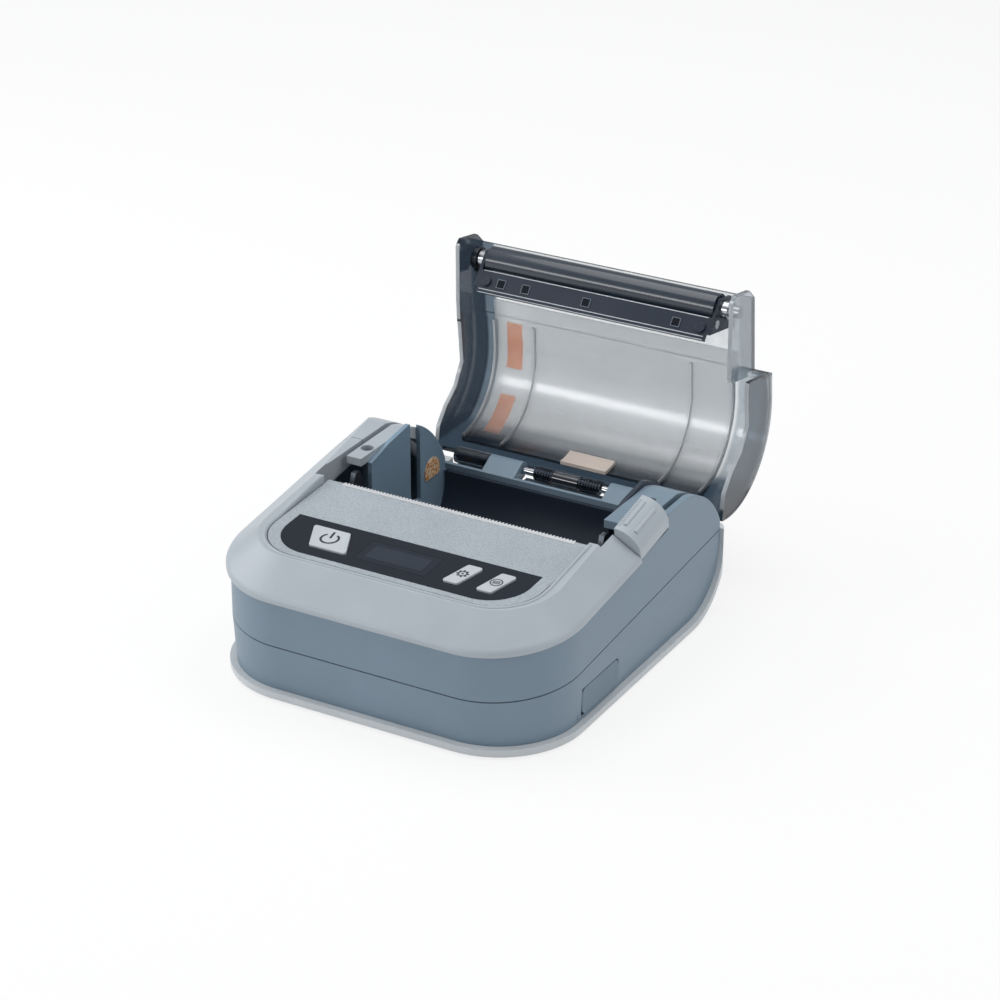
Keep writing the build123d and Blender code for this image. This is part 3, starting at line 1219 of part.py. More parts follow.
# Stripe: the two coloured bars behind the liner
with BuildPart() as lid_stripe:
    stripe_outer = WIDE_RADIUS - SEAT
    stripe_inner = stripe_outer - STRIPE_THICK
    stripe_faces = (
        dome_sheet(stripe_outer, stripe_inner, LID_STEP + SIDE_WALL + STRIPE_GAP, STRIPE_BREAK),
        dome_strip(stripe_outer, stripe_inner, *STRIPE_SPAN),
    )
    for stripe_face in stripe_faces:
        extrude(
            stripe_face.moved(Location((STRIPE_LEFT, 0, 0))),
            amount=STRIPE_RIGHT - STRIPE_LEFT,
        )
keep_open(lid_stripe, "lid_stripe")

# Roll pad: the soft block on the liner that steadies the paper roll
with BuildPart() as roll_pad:
    outer = INNER_RADIUS - LINER_THICK - 2 * SEAT
    extrude(
        dome_strip(outer, outer - PAD_THICK, *PAD_SPAN).moved(Location((PAD_LEFT, 0, 0))),
        amount=PAD_RIGHT - PAD_LEFT,
    )
keep_open(roll_pad, "roll_pad")

# Platen: shaft, rubber roller, two bushes and the gear on the left end
with BuildPart() as platen_shaft:
    with BuildSketch(Plane.YZ):
        with Locations((PLATEN_Y, PLATEN_Z)):
            Circle(SHAFT_RADIUS)
    extrude(amount=SHAFT_HALF, both=True)
keep_open(platen_shaft, "platen_shaft")

with BuildPart() as platen_rubber:
    with BuildSketch(Plane.YZ):
        with Locations((PLATEN_Y, PLATEN_Z)):
            Circle(PLATEN_RADIUS)
            Circle(SHAFT_RADIUS + RUN_FIT, mode=Mode.SUBTRACT)
    extrude(amount=PLATEN_HALF, both=True)
keep_open(platen_rubber, "platen_rubber")

with BuildPart() as platen_bushes:
    for side in (-1, 1):
        with BuildSketch(Plane.YZ.offset(side * (END_PLATE + END_PLATE_THICK + SEAT))):
            with Locations((PLATEN_Y, PLATEN_Z)):
                Circle(BUSH_RADIUS)
                Circle(SHAFT_RADIUS + RUN_FIT, mode=Mode.SUBTRACT)
        extrude(amount=side * BUSH_LENGTH)
keep_open(platen_bushes, "platen_bushes")

with BuildPart() as platen_gear:
    with Locations((-GEAR_PLANE, PLATEN_Y, PLATEN_Z)):
        add(gear(PLATEN_TEETH, SHAFT_RADIUS + RUN_FIT))
keep_open(platen_gear, "platen_gear")

# Platen bracket: black bar under the lid whose end plates carry the platen
with BuildPart() as platen_bracket:
    with BuildSketch(BRACKET_PLANE):
        with Locations((0, BRACKET_RUN / 2)):
            Rectangle(2 * (END_PLATE + END_PLATE_THICK), BRACKET_RUN)
    extrude(amount=-BRACKET_THICK)
    for side in (-1, 1):
        with Locations((side * BRACKET_HALF, END_PLATE_REAR, PLATEN_Z)):
            Box(
                HALF,
                HALF,
                HIGH,
                align=(Align.MIN if side > 0 else Align.MAX, Align.MIN, Align.CENTER),
                mode=Mode.SUBTRACT,
            )
    seat_radius = INNER_RADIUS - SEAT
    for side in (-1, 1):
        extrude(
            side_face([
                dome_front(seat_radius, END_PLATE_FRONT),
                dome_front(seat_radius, END_PLATE_REAR),
                *END_PLATE_CORNERS,
            ]).moved(Location((side * END_PLATE, 0, 0))),
            amount=side * END_PLATE_THICK,
            dir=(1, 0, 0),
        )
    with BuildSketch(Plane.YZ):
        with Locations((PLATEN_Y, PLATEN_Z)):
            Circle(SHAFT_RADIUS + RUN_FIT)
    extrude(amount=HALF, both=True, mode=Mode.SUBTRACT)
    with BuildSketch(BRACKET_PLANE):
        for spot in SENSOR_SPOTS:
            with Locations((spot, SENSOR_RISE)):
                Rectangle(SENSOR_SIDE + 2 * SEAT, SENSOR_SIDE + 2 * SEAT)
    extrude(amount=-SENSOR_SINK, mode=Mode.SUBTRACT)
    with BuildSketch(BRACKET_PLANE):
        with Locations((-BRACKET_SCREW_X, SENSOR_RISE), (BRACKET_SCREW_X, SENSOR_RISE)):
            Circle(BRACKET_SCREW_HEAD / 2)
    extrude(amount=-BRACKET_THICK, mode=Mode.SUBTRACT)
keep_open(platen_bracket, "platen_bracket")

with BuildPart() as sensor_windows:
    with BuildSketch(BRACKET_PLANE.offset(SENSOR_PROUD)):
        for spot in SENSOR_SPOTS:
            with Locations((spot, SENSOR_RISE)):
                Rectangle(SENSOR_SIDE, SENSOR_SIDE)
    extrude(amount=SEAT - SENSOR_SINK - SENSOR_PROUD)
keep_open(sensor_windows, "sensor_windows")

with BuildPart() as bracket_screws:
    with BuildSketch(BRACKET_PLANE.offset(BRACKET_SCREW_THICK)):
        with Locations((-BRACKET_SCREW_X, SENSOR_RISE), (BRACKET_SCREW_X, SENSOR_RISE)):
            Circle(BRACKET_SCREW_HEAD)
    extrude(amount=RUN_FIT - BRACKET_SCREW_THICK)
    with BuildSketch(BRACKET_PLANE.offset(RUN_FIT)):
        with Locations((-BRACKET_SCREW_X, SENSOR_RISE), (BRACKET_SCREW_X, SENSOR_RISE)):
            Circle(BRACKET_SCREW_HEAD / 2 - RUN_FIT)
    extrude(amount=-BRACKET_THICK)
keep_open(bracket_screws, "bracket_screws")
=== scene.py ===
"""Looks of the portable receipt printer with its paper lid open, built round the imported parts."""

import bpy
import bmesh
import json
from math import atan2, cos, pi, radians, sin, tan
from mathutils import Matrix, Vector


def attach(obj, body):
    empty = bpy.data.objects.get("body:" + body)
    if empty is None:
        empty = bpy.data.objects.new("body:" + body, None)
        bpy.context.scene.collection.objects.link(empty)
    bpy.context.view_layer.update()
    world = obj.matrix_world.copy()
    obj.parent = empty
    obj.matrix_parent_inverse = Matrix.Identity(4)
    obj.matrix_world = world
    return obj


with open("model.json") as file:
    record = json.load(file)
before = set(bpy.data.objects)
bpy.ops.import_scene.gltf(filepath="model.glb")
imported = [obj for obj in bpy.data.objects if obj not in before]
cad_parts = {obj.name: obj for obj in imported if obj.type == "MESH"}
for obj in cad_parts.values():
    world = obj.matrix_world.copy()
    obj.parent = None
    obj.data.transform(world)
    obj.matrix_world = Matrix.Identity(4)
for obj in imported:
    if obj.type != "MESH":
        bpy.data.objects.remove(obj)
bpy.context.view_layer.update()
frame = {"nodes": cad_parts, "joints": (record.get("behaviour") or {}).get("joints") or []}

# Camera: stands to the right of the front, above the printer, where the photographer stood
# with a long lens. It stays unshifted and everything is sharp.
lens_data = bpy.data.cameras.new("photo_camera")
lens_data.lens = 114.41
lens_data.sensor_width = 36.0
photo_camera = bpy.data.objects.new("photo_camera", lens_data)
photo_camera.location = (0.438, -0.74615, 0.47058)
photo_camera.rotation_euler = (radians(64.0), 0, radians(29.7))
bpy.context.scene.collection.objects.link(photo_camera)
bpy.context.scene.camera = photo_camera
bpy.context.scene.view_settings.view_transform = "Standard"


# Studio table: white, running out of sight, with only a light shadow under the printer.
# Part of its white glows for the eye alone, so that it lights nothing.
def start_finish(name):
    """Starts a finish and hands out its material, its nodes, their links and its shader."""
    finish = bpy.data.materials.new(name)
    finish.use_nodes = True
    nodes = finish.node_tree.nodes
    return finish, nodes, finish.node_tree.links, nodes["Principled BSDF"]


table_side = 12.0
table_glow_share = 0.8
bpy.ops.object.select_all(action="DESELECT")
bpy.ops.mesh.primitive_plane_add(size=table_side, location=(0, 0, 0))
table = bpy.context.object
table.name = "table"
table_white, table_nodes, table_links, table_shader = start_finish("table_white")
table_shader.inputs["Base Color"].default_value = (0.93, 0.93, 0.93, 1)
table_shader.inputs["Roughness"].default_value = 0.9
table_glow = table_nodes.new("ShaderNodeEmission")
table_glow.inputs["Color"].default_value = (1, 1, 1, 1)
table_rays = table_nodes.new("ShaderNodeLightPath")
table_first = table_nodes.new("ShaderNodeMath")
table_first.operation = "ADD"
table_first.use_clamp = True
table_seen = table_nodes.new("ShaderNodeMath")
table_seen.operation = "ADD"
table_seen.use_clamp = True
table_share = table_nodes.new("ShaderNodeMath")
table_share.operation = "MULTIPLY"
table_share.inputs[1].default_value = table_glow_share
table_mix = table_nodes.new("ShaderNodeMixShader")
table_links.new(table_rays.outputs["Is Camera Ray"], table_first.inputs[0])
table_links.new(table_rays.outputs["Is Glossy Ray"], table_first.inputs[1])
table_links.new(table_first.outputs[0], table_seen.inputs[0])
table_links.new(table_rays.outputs["Is Transmission Ray"], table_seen.inputs[1])
table_links.new(table_seen.outputs[0], table_share.inputs[0])
table_links.new(table_share.outputs[0], table_mix.inputs["Fac"])
table_links.new(table_shader.outputs[0], table_mix.inputs[1])
table_links.new(table_glow.outputs[0], table_mix.inputs[2])
table_links.new(table_mix.outputs[0], table_nodes["Material Output"].inputs["Surface"])
table.data.materials.append(table_white)

# Room: plain pale walls all round, which light the printer softly from every side.
# They are pure white where the eye or clear plastic looks at them.
room = bpy.data.worlds.new("white_room")
bpy.context.scene.world = room
room.use_nodes = True
room_nodes = room.node_tree.nodes
room_links = room.node_tree.links
room_seen = room_nodes.new("ShaderNodeBackground")
room_seen.inputs["Color"].default_value = (1, 1, 1, 1)
room_rays = room_nodes.new("ShaderNodeLightPath")
room_white = room_nodes.new("ShaderNodeMath")
room_white.operation = "ADD"
room_white.use_clamp = True
room_mix = room_nodes.new("ShaderNodeMixShader")
room_nodes["Background"].inputs["Color"].default_value = (0.93, 0.96, 1.0, 1)
room_nodes["Background"].inputs["Strength"].default_value = 0.33
room_links.new(room_rays.outputs["Is Camera Ray"], room_white.inputs[0])
room_links.new(room_rays.outputs["Is Transmission Ray"], room_white.inputs[1])
room_links.new(room_white.outputs[0], room_mix.inputs["Fac"])
room_links.new(room_nodes["Background"].outputs[0], room_mix.inputs[1])
room_links.new(room_seen.outputs[0], room_mix.inputs[2])
room_links.new(room_mix.outputs[0], room_nodes["World Output"].inputs["Surface"])

# Lamps: large soft boxes overhead and at both sides, and a low wide one at the front left
# whose light runs along the hollow of the open lid.
for lamp_name, lamp_place, lamp_aim, lamp_wide, lamp_high, lamp_power in (
    ("lamp_over", (0.0, 0.15, 0.9), (0, 0.05, 0), 0.9, 0.9, 5.0),
    ("lamp_left", (-0.75, -0.1, 0.5), (0, 0, 0), 0.6, 0.6, 2.9),
    ("lamp_right", (0.8, 0.1, 0.45), (0, 0, 0), 0.6, 0.6, 1.5),
    ("lamp_lid", (-0.44, -0.78, 0.39), (0, 0.1, 0.07), 0.44, 0.19, 1.5),
):
    lamp_data = bpy.data.lights.new(lamp_name, "AREA")
    lamp_data.shape = "RECTANGLE"
    lamp_data.size = lamp_wide
    lamp_data.size_y = lamp_high
    lamp_data.energy = lamp_power
    lamp = bpy.data.objects.new(lamp_name, lamp_data)
    lamp.location = lamp_place
    lamp_way = Vector(lamp_aim) - Vector(lamp_place)
    lamp.rotation_euler = lamp_way.to_track_quat("-Z", "Y").to_euler()
    bpy.context.scene.collection.objects.link(lamp)


# Bottom cover: the pale moulding that the body sits in, with a rounded lip all round.
# Moulded in ABS with a fine spark-eroded skin.
def shade(red, green, blue):
    """Turns a colour as seen on a screen into the plain light values that shaders take."""
    return tuple(((c / 255 + 0.055) / 1.055) ** 2.4 for c in (red, green, blue)) + (1.0,)


def moulded(name, colour, gloss, skin=0.00022, depth=0.12, blend=0.035, edge=0.0003):
    """Moulded plastic: a fine eroded skin, a slightly cloudy colour and softly lit edges."""
    plastic, nodes, links, surface = start_finish(name)
    where = nodes.new("ShaderNodeTexCoord")
    cloud = nodes.new("ShaderNodeTexNoise")
    cloud.inputs["Scale"].default_value = 55.0
    cloud.inputs["Detail"].default_value = 4.0
    tone = nodes.new("ShaderNodeValToRGB")
    tone.color_ramp.elements[0].position = 0.3
    tone.color_ramp.elements[1].position = 0.7
    tone.color_ramp.elements[0].color = tuple(c * (1 - blend) for c in colour[:3]) + (1,)
    tone.color_ramp.elements[1].color = tuple(min(1, c * (1 + blend)) for c in colour[:3]) + (1,)
    grain = nodes.new("ShaderNodeTexNoise")
    grain.inputs["Scale"].default_value = 1 / skin
    grain.inputs["Detail"].default_value = 2.0
    rub = nodes.new("ShaderNodeMapRange")
    rub.inputs["To Min"].default_value = gloss - 0.05
    rub.inputs["To Max"].default_value = gloss + 0.07
    soft = nodes.new("ShaderNodeBevel")
    soft.samples = 4
    soft.inputs["Radius"].default_value = edge
    bump = nodes.new("ShaderNodeBump")
    bump.inputs["Strength"].default_value = depth
    bump.inputs["Distance"].default_value = skin
    links.new(where.outputs["Object"], cloud.inputs["Vector"])
    links.new(where.outputs["Object"], grain.inputs["Vector"])
    links.new(cloud.outputs["Fac"], tone.inputs["Fac"])
    links.new(tone.outputs["Color"], surface.inputs["Base Color"])
    links.new(cloud.outputs["Fac"], rub.inputs["Value"])
    links.new(rub.outputs["Result"], surface.inputs["Roughness"])
    links.new(grain.outputs["Fac"], bump.inputs["Height"])
    links.new(soft.outputs["Normal"], bump.inputs["Normal"])
    links.new(bump.outputs["Normal"], surface.inputs["Normal"])
    return plastic


def finish_node(node, material):
    """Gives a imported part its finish."""
    part = frame["nodes"][node]
    part.data.materials.clear()
    part.data.materials.append(material)


pale_cover = moulded("pale_cover", shade(204, 209, 212), 0.42)
finish_node("bottom_cover", pale_cover)

# Feet and case screws: black rubber pads let into the cover, and bright plated screws
# sunk beside them.
foot_rubber = moulded("foot_rubber", shade(38, 39, 42), 0.75, skin=0.0004, depth=0.3)
finish_node("rubber_feet", foot_rubber)


def metal(name, colour, gloss, streak=(1, 1, 1), streak_size=900.0, depth=0.05):
    """Bare metal with fine tool marks, drawn out along one direction where it is brushed."""
    stuff, nodes, links, surface = start_finish(name)
    surface.inputs["Metallic"].default_value = 1.0
    where = nodes.new("ShaderNodeTexCoord")
    stretch = nodes.new("ShaderNodeMapping")
    stretch.inputs["Scale"].default_value = streak
    marks = nodes.new("ShaderNodeTexNoise")
    marks.inputs["Scale"].default_value = streak_size
    marks.inputs["Detail"].default_value = 3.0
    tone = nodes.new("ShaderNodeValToRGB")
    tone.color_ramp.elements[0].color = tuple(c * 0.86 for c in colour[:3]) + (1,)
    tone.color_ramp.elements[1].color = colour
    rub = nodes.new("ShaderNodeMapRange")
    rub.inputs["To Min"].default_value = max(0.05, gloss - 0.08)
    rub.inputs["To Max"].default_value = gloss + 0.08
    bump = nodes.new("ShaderNodeBump")
    bump.inputs["Strength"].default_value = depth
    bump.inputs["Distance"].default_value = 0.0001
    links.new(where.outputs["Object"], stretch.inputs["Vector"])
    links.new(stretch.outputs["Vector"], marks.inputs["Vector"])
    links.new(marks.outputs["Fac"], tone.inputs["Fac"])
    links.new(tone.outputs["Color"], surface.inputs["Base Color"])
    links.new(marks.outputs["Fac"], rub.inputs["Value"])
    links.new(rub.outputs["Result"], surface.inputs["Roughness"])
    links.new(marks.outputs["Fac"], bump.inputs["Height"])
    links.new(bump.outputs["Normal"], surface.inputs["Normal"])
    return stuff


plated_screw = metal("plated_screw", shade(206, 208, 212), 0.22)
finish_node("case_screws", plated_screw)

# Shells: the slate middle of the body, parted by a thin dark line that climbs to the rear.
# The same moulding carries the outer right ear and the hinge knuckles.
slate_shell = moulded("slate_shell", shade(120, 139, 154), 0.42)
finish_node("lower_shell", slate_shell)
finish_node("upper_shell", slate_shell)
finish_node("right_ledge", slate_shell)

# Bezel, left ledge and ear cap: the pale upper mouldings of ABS, a little glossier than the
# body, which close the upper shell from above.
pale_bezel = moulded("pale_bezel", shade(172, 180, 187), 0.36)
finish_node("top_bezel", pale_bezel)
finish_node("left_ledge", pale_bezel)
finish_node("ear_cap", pale_bezel)

# Bezel lip: the narrow raised bead of the bezel that frames the panel, moulded in one with it.
# It is drawn round the panel's outline and climbs with the side rails.
panel_seat = Vector((0, -0.0267, 0.0451))
panel_slope = radians(3.05)
panel_half = 0.0460
panel_front = -0.0223
lip_gap = 0.0011
lip_front = panel_front - lip_gap
lip_bend = -0.0043
lip_end = 0.0195
lip_rise = 0.0023
lip_corner = 0.0160
lip_round = 0.0006
lip_sunk = 0.0001
pick_reach = 0.001
smooth_turn = radians(40)


def settle(piece, place):
    """Moves a piece to its place in the printer and keeps that place in its mesh."""
    piece.matrix_world = place
    bpy.ops.object.transform_apply(location=True, rotation=True, scale=True)


def on_panel(piece, right, back, lift, turn=0.0):
    """Moves a piece drawn flat at the origin to a spot on the panel."""
    seat = Matrix.Translation(panel_seat) @ Matrix.Rotation(panel_slope, 4, "X")
    settle(piece, seat @ Matrix.Translation((right, back, lift)) @ Matrix.Rotation(turn, 4, "Z"))


def fit_piece(piece, name, body, material):
    """Names a finished piece, gives it its finish and lets it ride on one body of the printer."""
    piece.name = name
    piece.data.materials.clear()
    piece.data.materials.append(material)
    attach(piece, body)
    bpy.ops.object.select_all(action="DESELECT")


def pick(piece, wanted):
    """Selects the corners of a piece in edit mode that a test on their place wants."""
    mesh = bmesh.from_edit_mesh(piece.data)
    mesh.select_mode = {"VERT"}
    bpy.ops.mesh.select_mode(type="VERT")
    for corner in mesh.verts:
        corner.select = wanted(corner.co)
    mesh.select_flush_mode()
    bmesh.update_edit_mesh(piece.data)


def flat_sheet(wide=1.0, long=1.0, back=0.0):
    """Lays down a flat rectangle, its middle a way behind the origin, and opens it for editing."""
    bpy.ops.mesh.primitive_plane_add(size=1.0)
    sheet = bpy.context.object
    sheet.scale = (wide, long, 1)
    sheet.location = (0, back, 0)
    bpy.ops.object.transform_apply(location=True, rotation=True, scale=True)
    bpy.ops.object.mode_set(mode="EDIT")
    return sheet


def drawn_bead(thick, half_wide=0.0):
    """Turns the open outline at hand into a round bead, or into a band that stands across it."""
    bpy.ops.object.convert(target="CURVE")
    run = bpy.context.object
    if half_wide > 0:
        run.data.dimensions = "2D"
    run.data.extrude = half_wide
    run.data.bevel_depth = thick
    run.data.bevel_resolution = 4
    run.data.use_fill_caps = True
    bpy.ops.object.convert(target="MESH")
    bead = bpy.context.object
    bpy.ops.object.mode_set(mode="EDIT")
    bpy.ops.mesh.select_all(action="SELECT")
    bpy.ops.mesh.remove_doubles(threshold=1e-6)
    bpy.ops.mesh.normals_make_consistent(inside=False)
    bpy.ops.object.mode_set(mode="OBJECT")
    bpy.ops.object.shade_smooth_by_angle(angle=smooth_turn)
    return bead


bezel_lip = flat_sheet(
    2 * (panel_half + lip_gap), lip_bend - lip_front, (lip_bend + lip_front) / 2
)
pick(bezel_lip, lambda place: place.y < lip_front + pick_reach)
bpy.ops.mesh.bevel(offset=lip_corner, segments=14, affect="VERTICES")
bpy.ops.mesh.select_all(action="SELECT")
bpy.ops.mesh.delete(type="ONLY_FACE")
pick(bezel_lip, lambda place: place.y > lip_bend - pick_reach)
bpy.ops.mesh.select_mode(type="EDGE")
bpy.ops.mesh.delete(type="EDGE")
pick(bezel_lip, lambda place: place.y > lip_bend - pick_reach)
bpy.ops.mesh.extrude_region_move(
    TRANSFORM_OT_translate={"value": (0, lip_end - lip_bend, lip_rise)}
)
bpy.ops.object.mode_set(mode="OBJECT")
bezel_lip = drawn_bead(lip_round)
on_panel(bezel_lip, 0, 0, -lip_sunk)
fit_piece(bezel_lip, "bezel_lip", "base", pale_bezel)


# Top panel: pale moulded plate let into the bezel. It is eroded to a coarse grain that the thumb
# feels, and its colour is speckled with painted glints and painted shade in its pits.
def sparkling(name, colour, gloss, pit):
    """Coarse spark-eroded plastic, its colour speckled lighter as painted glints and darker as
    painted pit shade.
    """
    plastic = moulded(name, colour, gloss, skin=pit, depth=0.75, blend=0.05)
    nodes = plastic.node_tree.nodes
    links = plastic.node_tree.links
    surface = nodes["Principled BSDF"]
    tone = surface.inputs["Base Color"].links[0].from_socket
    where = nodes.new("ShaderNodeTexCoord")
    glint_specks = nodes.new("ShaderNodeTexVoronoi")
    glint_specks.inputs["Scale"].default_value = 1 / pit
    # Painted glints lighten the colour near each speck's middle, painted pit shade darkens it
    # further out.
    glint_and_pit_shade = nodes.new("ShaderNodeMapRange")
    glint_and_pit_shade.inputs["From Min"].default_value = 0.1
    glint_and_pit_shade.inputs["From Max"].default_value = 0.7
    glint_and_pit_shade.inputs["To Min"].default_value = 1.10
    glint_and_pit_shade.inputs["To Max"].default_value = 0.86
    glint_shaded_tone = nodes.new("ShaderNodeVectorMath")
    glint_shaded_tone.operation = "MULTIPLY"
    links.new(where.outputs["Object"], glint_specks.inputs["Vector"])
    links.new(glint_specks.outputs["Distance"], glint_and_pit_shade.inputs["Value"])
    links.new(tone, glint_shaded_tone.inputs[0])
    links.new(glint_and_pit_shade.outputs["Result"], glint_shaded_tone.inputs[1])
    links.new(glint_shaded_tone.outputs["Vector"], surface.inputs["Base Color"])
    return plastic


panel_grain = sparkling("panel_grain", shade(172, 181, 188), 0.42, pit=0.0006)
finish_node("top_panel", panel_grain)


# Window and display: dark glossy plate let into the panel, with the screen flush in it.
# The screen is off and shows as a patch a shade lighter than the plate.
def glossy(name, colour, gloss, coat=1.0):
    """Polished plastic, some of it under a clear hard coat, with the faint haze of handling."""
    stuff, nodes, links, surface = start_finish(name)
    surface.inputs["Coat Weight"].default_value = coat
    surface.inputs["Coat Roughness"].default_value = 0.04
    where = nodes.new("ShaderNodeTexCoord")
    haze = nodes.new("ShaderNodeTexNoise")
    haze.inputs["Scale"].default_value = 90.0
    haze.inputs["Detail"].default_value = 5.0
    tone = nodes.new("ShaderNodeValToRGB")
    tone.color_ramp.elements[0].color = tuple(c * 0.92 for c in colour[:3]) + (1,)
    tone.color_ramp.elements[1].color = tuple(min(1, c * 1.08) for c in colour[:3]) + (1,)
    rub = nodes.new("ShaderNodeMapRange")
    rub.inputs["To Min"].default_value = max(0.03, gloss - 0.04)
    rub.inputs["To Max"].default_value = gloss + 0.06
    links.new(where.outputs["Object"], haze.inputs["Vector"])
    links.new(haze.outputs["Fac"], tone.inputs["Fac"])
    links.new(tone.outputs["Color"], surface.inputs["Base Color"])
    links.new(haze.outputs["Fac"], rub.inputs["Value"])
    links.new(rub.outputs["Result"], surface.inputs["Roughness"])
    return stuff


window_gloss = glossy("window_gloss", shade(16, 25, 38), 0.14, coat=0.0)
finish_node("display_window", window_gloss)
screen_glass = glossy("screen_glass", shade(24, 34, 46), 0.10, coat=0.0)
finish_node("display_module", screen_glass)

screen_wide = 0.0195
screen_long = 0.0072
screen_thick = 0.00004
screen_corner = 0.0008
screen_spot = (-0.0012, -0.0098)
screen_lift = 0.00001


def thicken(height):
    """Gives the flat shape in edit mode its thickness, turns its faces out and ends the editing."""
    bpy.ops.mesh.select_all(action="SELECT")
    bpy.ops.mesh.extrude_region_move(TRANSFORM_OT_translate={"value": (0, 0, height)})
    bpy.ops.mesh.select_all(action="SELECT")
    bpy.ops.mesh.normals_make_consistent(inside=False)
    bpy.ops.object.mode_set(mode="OBJECT")


screen_area = flat_sheet(screen_wide, screen_long)
bpy.ops.mesh.select_all(action="SELECT")
bpy.ops.mesh.bevel(offset=screen_corner, segments=4, affect="VERTICES")
thicken(screen_thick)
on_panel(screen_area, *screen_spot, screen_lift)
screen_lit = glossy("screen_lit", shade(30, 42, 56), 0.3, coat=0.0)
fit_piece(screen_area, "screen_area", "base", screen_lit)

# Keys: pale caps with dark printed signs, the wide one to switch on and two narrow ones for
# the settings and the paper feed. The signs are printed on and go down with their keys.
key_pale = moulded("key_pale", shade(190, 196, 201), 0.34, depth=0.05)
finish_node("power_button", key_pale)
finish_node("settings_button", key_pale)
finish_node("feed_button", key_pale)
key_top = 0.00062
print_thick = 0.00003
sign_line = 0.0007
sign_turn = radians(9.3)
key_row = -0.00975
power_spot = (-0.0252, key_row)
settings_spot = (0.0207, key_row)
feed_spot = (0.0320, key_row)
sign_ink = glossy("sign_ink", shade(34, 42, 54), 0.4, coat=0.0)


def hollow_out(line):
    """Opens the flat shape at hand for editing and cuts out its middle, up to a line round it."""
    bpy.ops.object.mode_set(mode="EDIT")
    bpy.ops.mesh.select_mode(type="FACE")
    bpy.ops.mesh.select_all(action="SELECT")
    bpy.ops.mesh.inset(thickness=line)
    bpy.ops.mesh.delete(type="FACE")


def flat_ring(radius, line, corners):
    """Lays down a flat ring with a line of one width and leaves it in edit mode."""
    bpy.ops.mesh.primitive_circle_add(vertices=corners, radius=radius, fill_type="NGON")
    ring = bpy.context.object
    hollow_out(line)
    return ring


def flat_bar(place, wide, long):
    """Adds a flat bar to the piece that is in edit mode."""
    bpy.ops.mesh.primitive_plane_add(size=1.0, location=place)
    bpy.ops.transform.resize(value=(wide, long, 1), center_override=place)


def print_sign(sign, name, spot, body):
    """Gives a drawn sign the thickness of its ink and prints it on its key."""
    thicken(print_thick)
    on_panel(sign, *spot, key_top, sign_turn)
    fit_piece(sign, name, body, sign_ink)


power_ring = 0.0031
power_gap = 0.0018
power_stem = 0.0037
stem_middle = 0.0021
power_sign = flat_ring(power_ring, sign_line, 40)
pick(power_sign, lambda place: place.y > 0.7 * power_ring and abs(place.x) < power_gap)
bpy.ops.mesh.delete(type="VERT")
flat_bar((0, stem_middle, 0), sign_line, power_stem)
print_sign(power_sign, "power_sign", power_spot, "power_key")

gear_ring = 0.0015
gear_line = 0.00042
gear_hub = 0.0004
gear_teeth = 8
tooth_round = 0.00035
tooth_out = gear_ring + 0.0002
settings_sign = flat_ring(gear_ring, gear_line, 24)
for tooth in range(gear_teeth):
    tooth_turn = 2 * pi * tooth / gear_teeth
    tooth_place = (tooth_out * cos(tooth_turn), tooth_out * sin(tooth_turn), 0)
    bpy.ops.mesh.primitive_circle_add(
        vertices=8, radius=tooth_round, fill_type="NGON", location=tooth_place
    )
bpy.ops.mesh.primitive_circle_add(vertices=12, radius=gear_hub, fill_type="NGON")
print_sign(settings_sign, "settings_sign", settings_spot, "settings_key")

feed_ring = 0.0020
feed_ring_line = 0.00036
feed_line = 0.00026
feed_step = 0.0006
feed_wide = 0.0015
feed_side = 0.0009
feed_long = 0.0016
feed_sign = flat_ring(feed_ring, feed_ring_line, 28)
for line_back in (-feed_step, 0.0, feed_step):
    flat_bar((0, line_back, 0), feed_wide, feed_line)
for side in (-1, 1):
    flat_bar((side * feed_side, 0, 0), feed_line, feed_long)
print_sign(feed_sign, "feed_sign", feed_spot, "feed_key")

# Boards: glass fibre boards under a green solder mask, the main one inside the body and a
# small one behind the charging port.
board_mask = glossy("board_mask", shade(24, 92, 62), 0.3, coat=0.3)
finish_node("main_board", board_mask)
finish_node("port_board", board_mask)

# Tear bar: thin stainless strip, brushed along its length and stamped with saw teeth along its
# rear edge, where the panel ends.
tear_steel = metal("tear_steel", shade(238, 240, 242), 0.5, streak=(0.05, 1, 1))
finish_node("tear_bar", tear_steel)

# Paper bay: dark slate tub that holds the paper roll, moulded in one piece. Right of its left wall
# its inside is painted nearly black as painted shade, so the left wall, with a guide slot in it,
# shows lighter.
bay_shade_edge = -0.0411
bay_shade_fade = 0.0006
bay_slate = moulded("bay_slate", shade(122, 146, 165), 0.45)
bay_nodes = bay_slate.node_tree.nodes
bay_links = bay_slate.node_tree.links
bay_where = bay_nodes.new("ShaderNodeTexCoord")
bay_split = bay_nodes.new("ShaderNodeSeparateXYZ")
bay_painted_shade = bay_nodes.new("ShaderNodeMapRange")
bay_painted_shade.inputs["From Min"].default_value = bay_shade_edge
bay_painted_shade.inputs["From Max"].default_value = bay_shade_edge + bay_shade_fade
bay_shade_mix = bay_nodes.new("ShaderNodeMix")
bay_shade_mix.data_type = "RGBA"
# The near-black colour of the bay's inside is painted shade.
bay_shade_mix.inputs["B"].default_value = shade(34, 45, 60)
bay_tone = bay_nodes["Principled BSDF"].inputs["Base Color"].links[0].from_socket
bay_links.new(bay_where.outputs["Object"], bay_split.inputs["Vector"])
bay_links.new(bay_split.outputs["X"], bay_painted_shade.inputs["Value"])
bay_links.new(bay_painted_shade.outputs["Result"], bay_shade_mix.inputs["Factor"])
bay_links.new(bay_tone, bay_shade_mix.inputs["A"])
bay_links.new(bay_shade_mix.outputs["Result"], bay_nodes["Principled BSDF"].inputs["Base Color"])
finish_node("paper_bay", bay_slate)

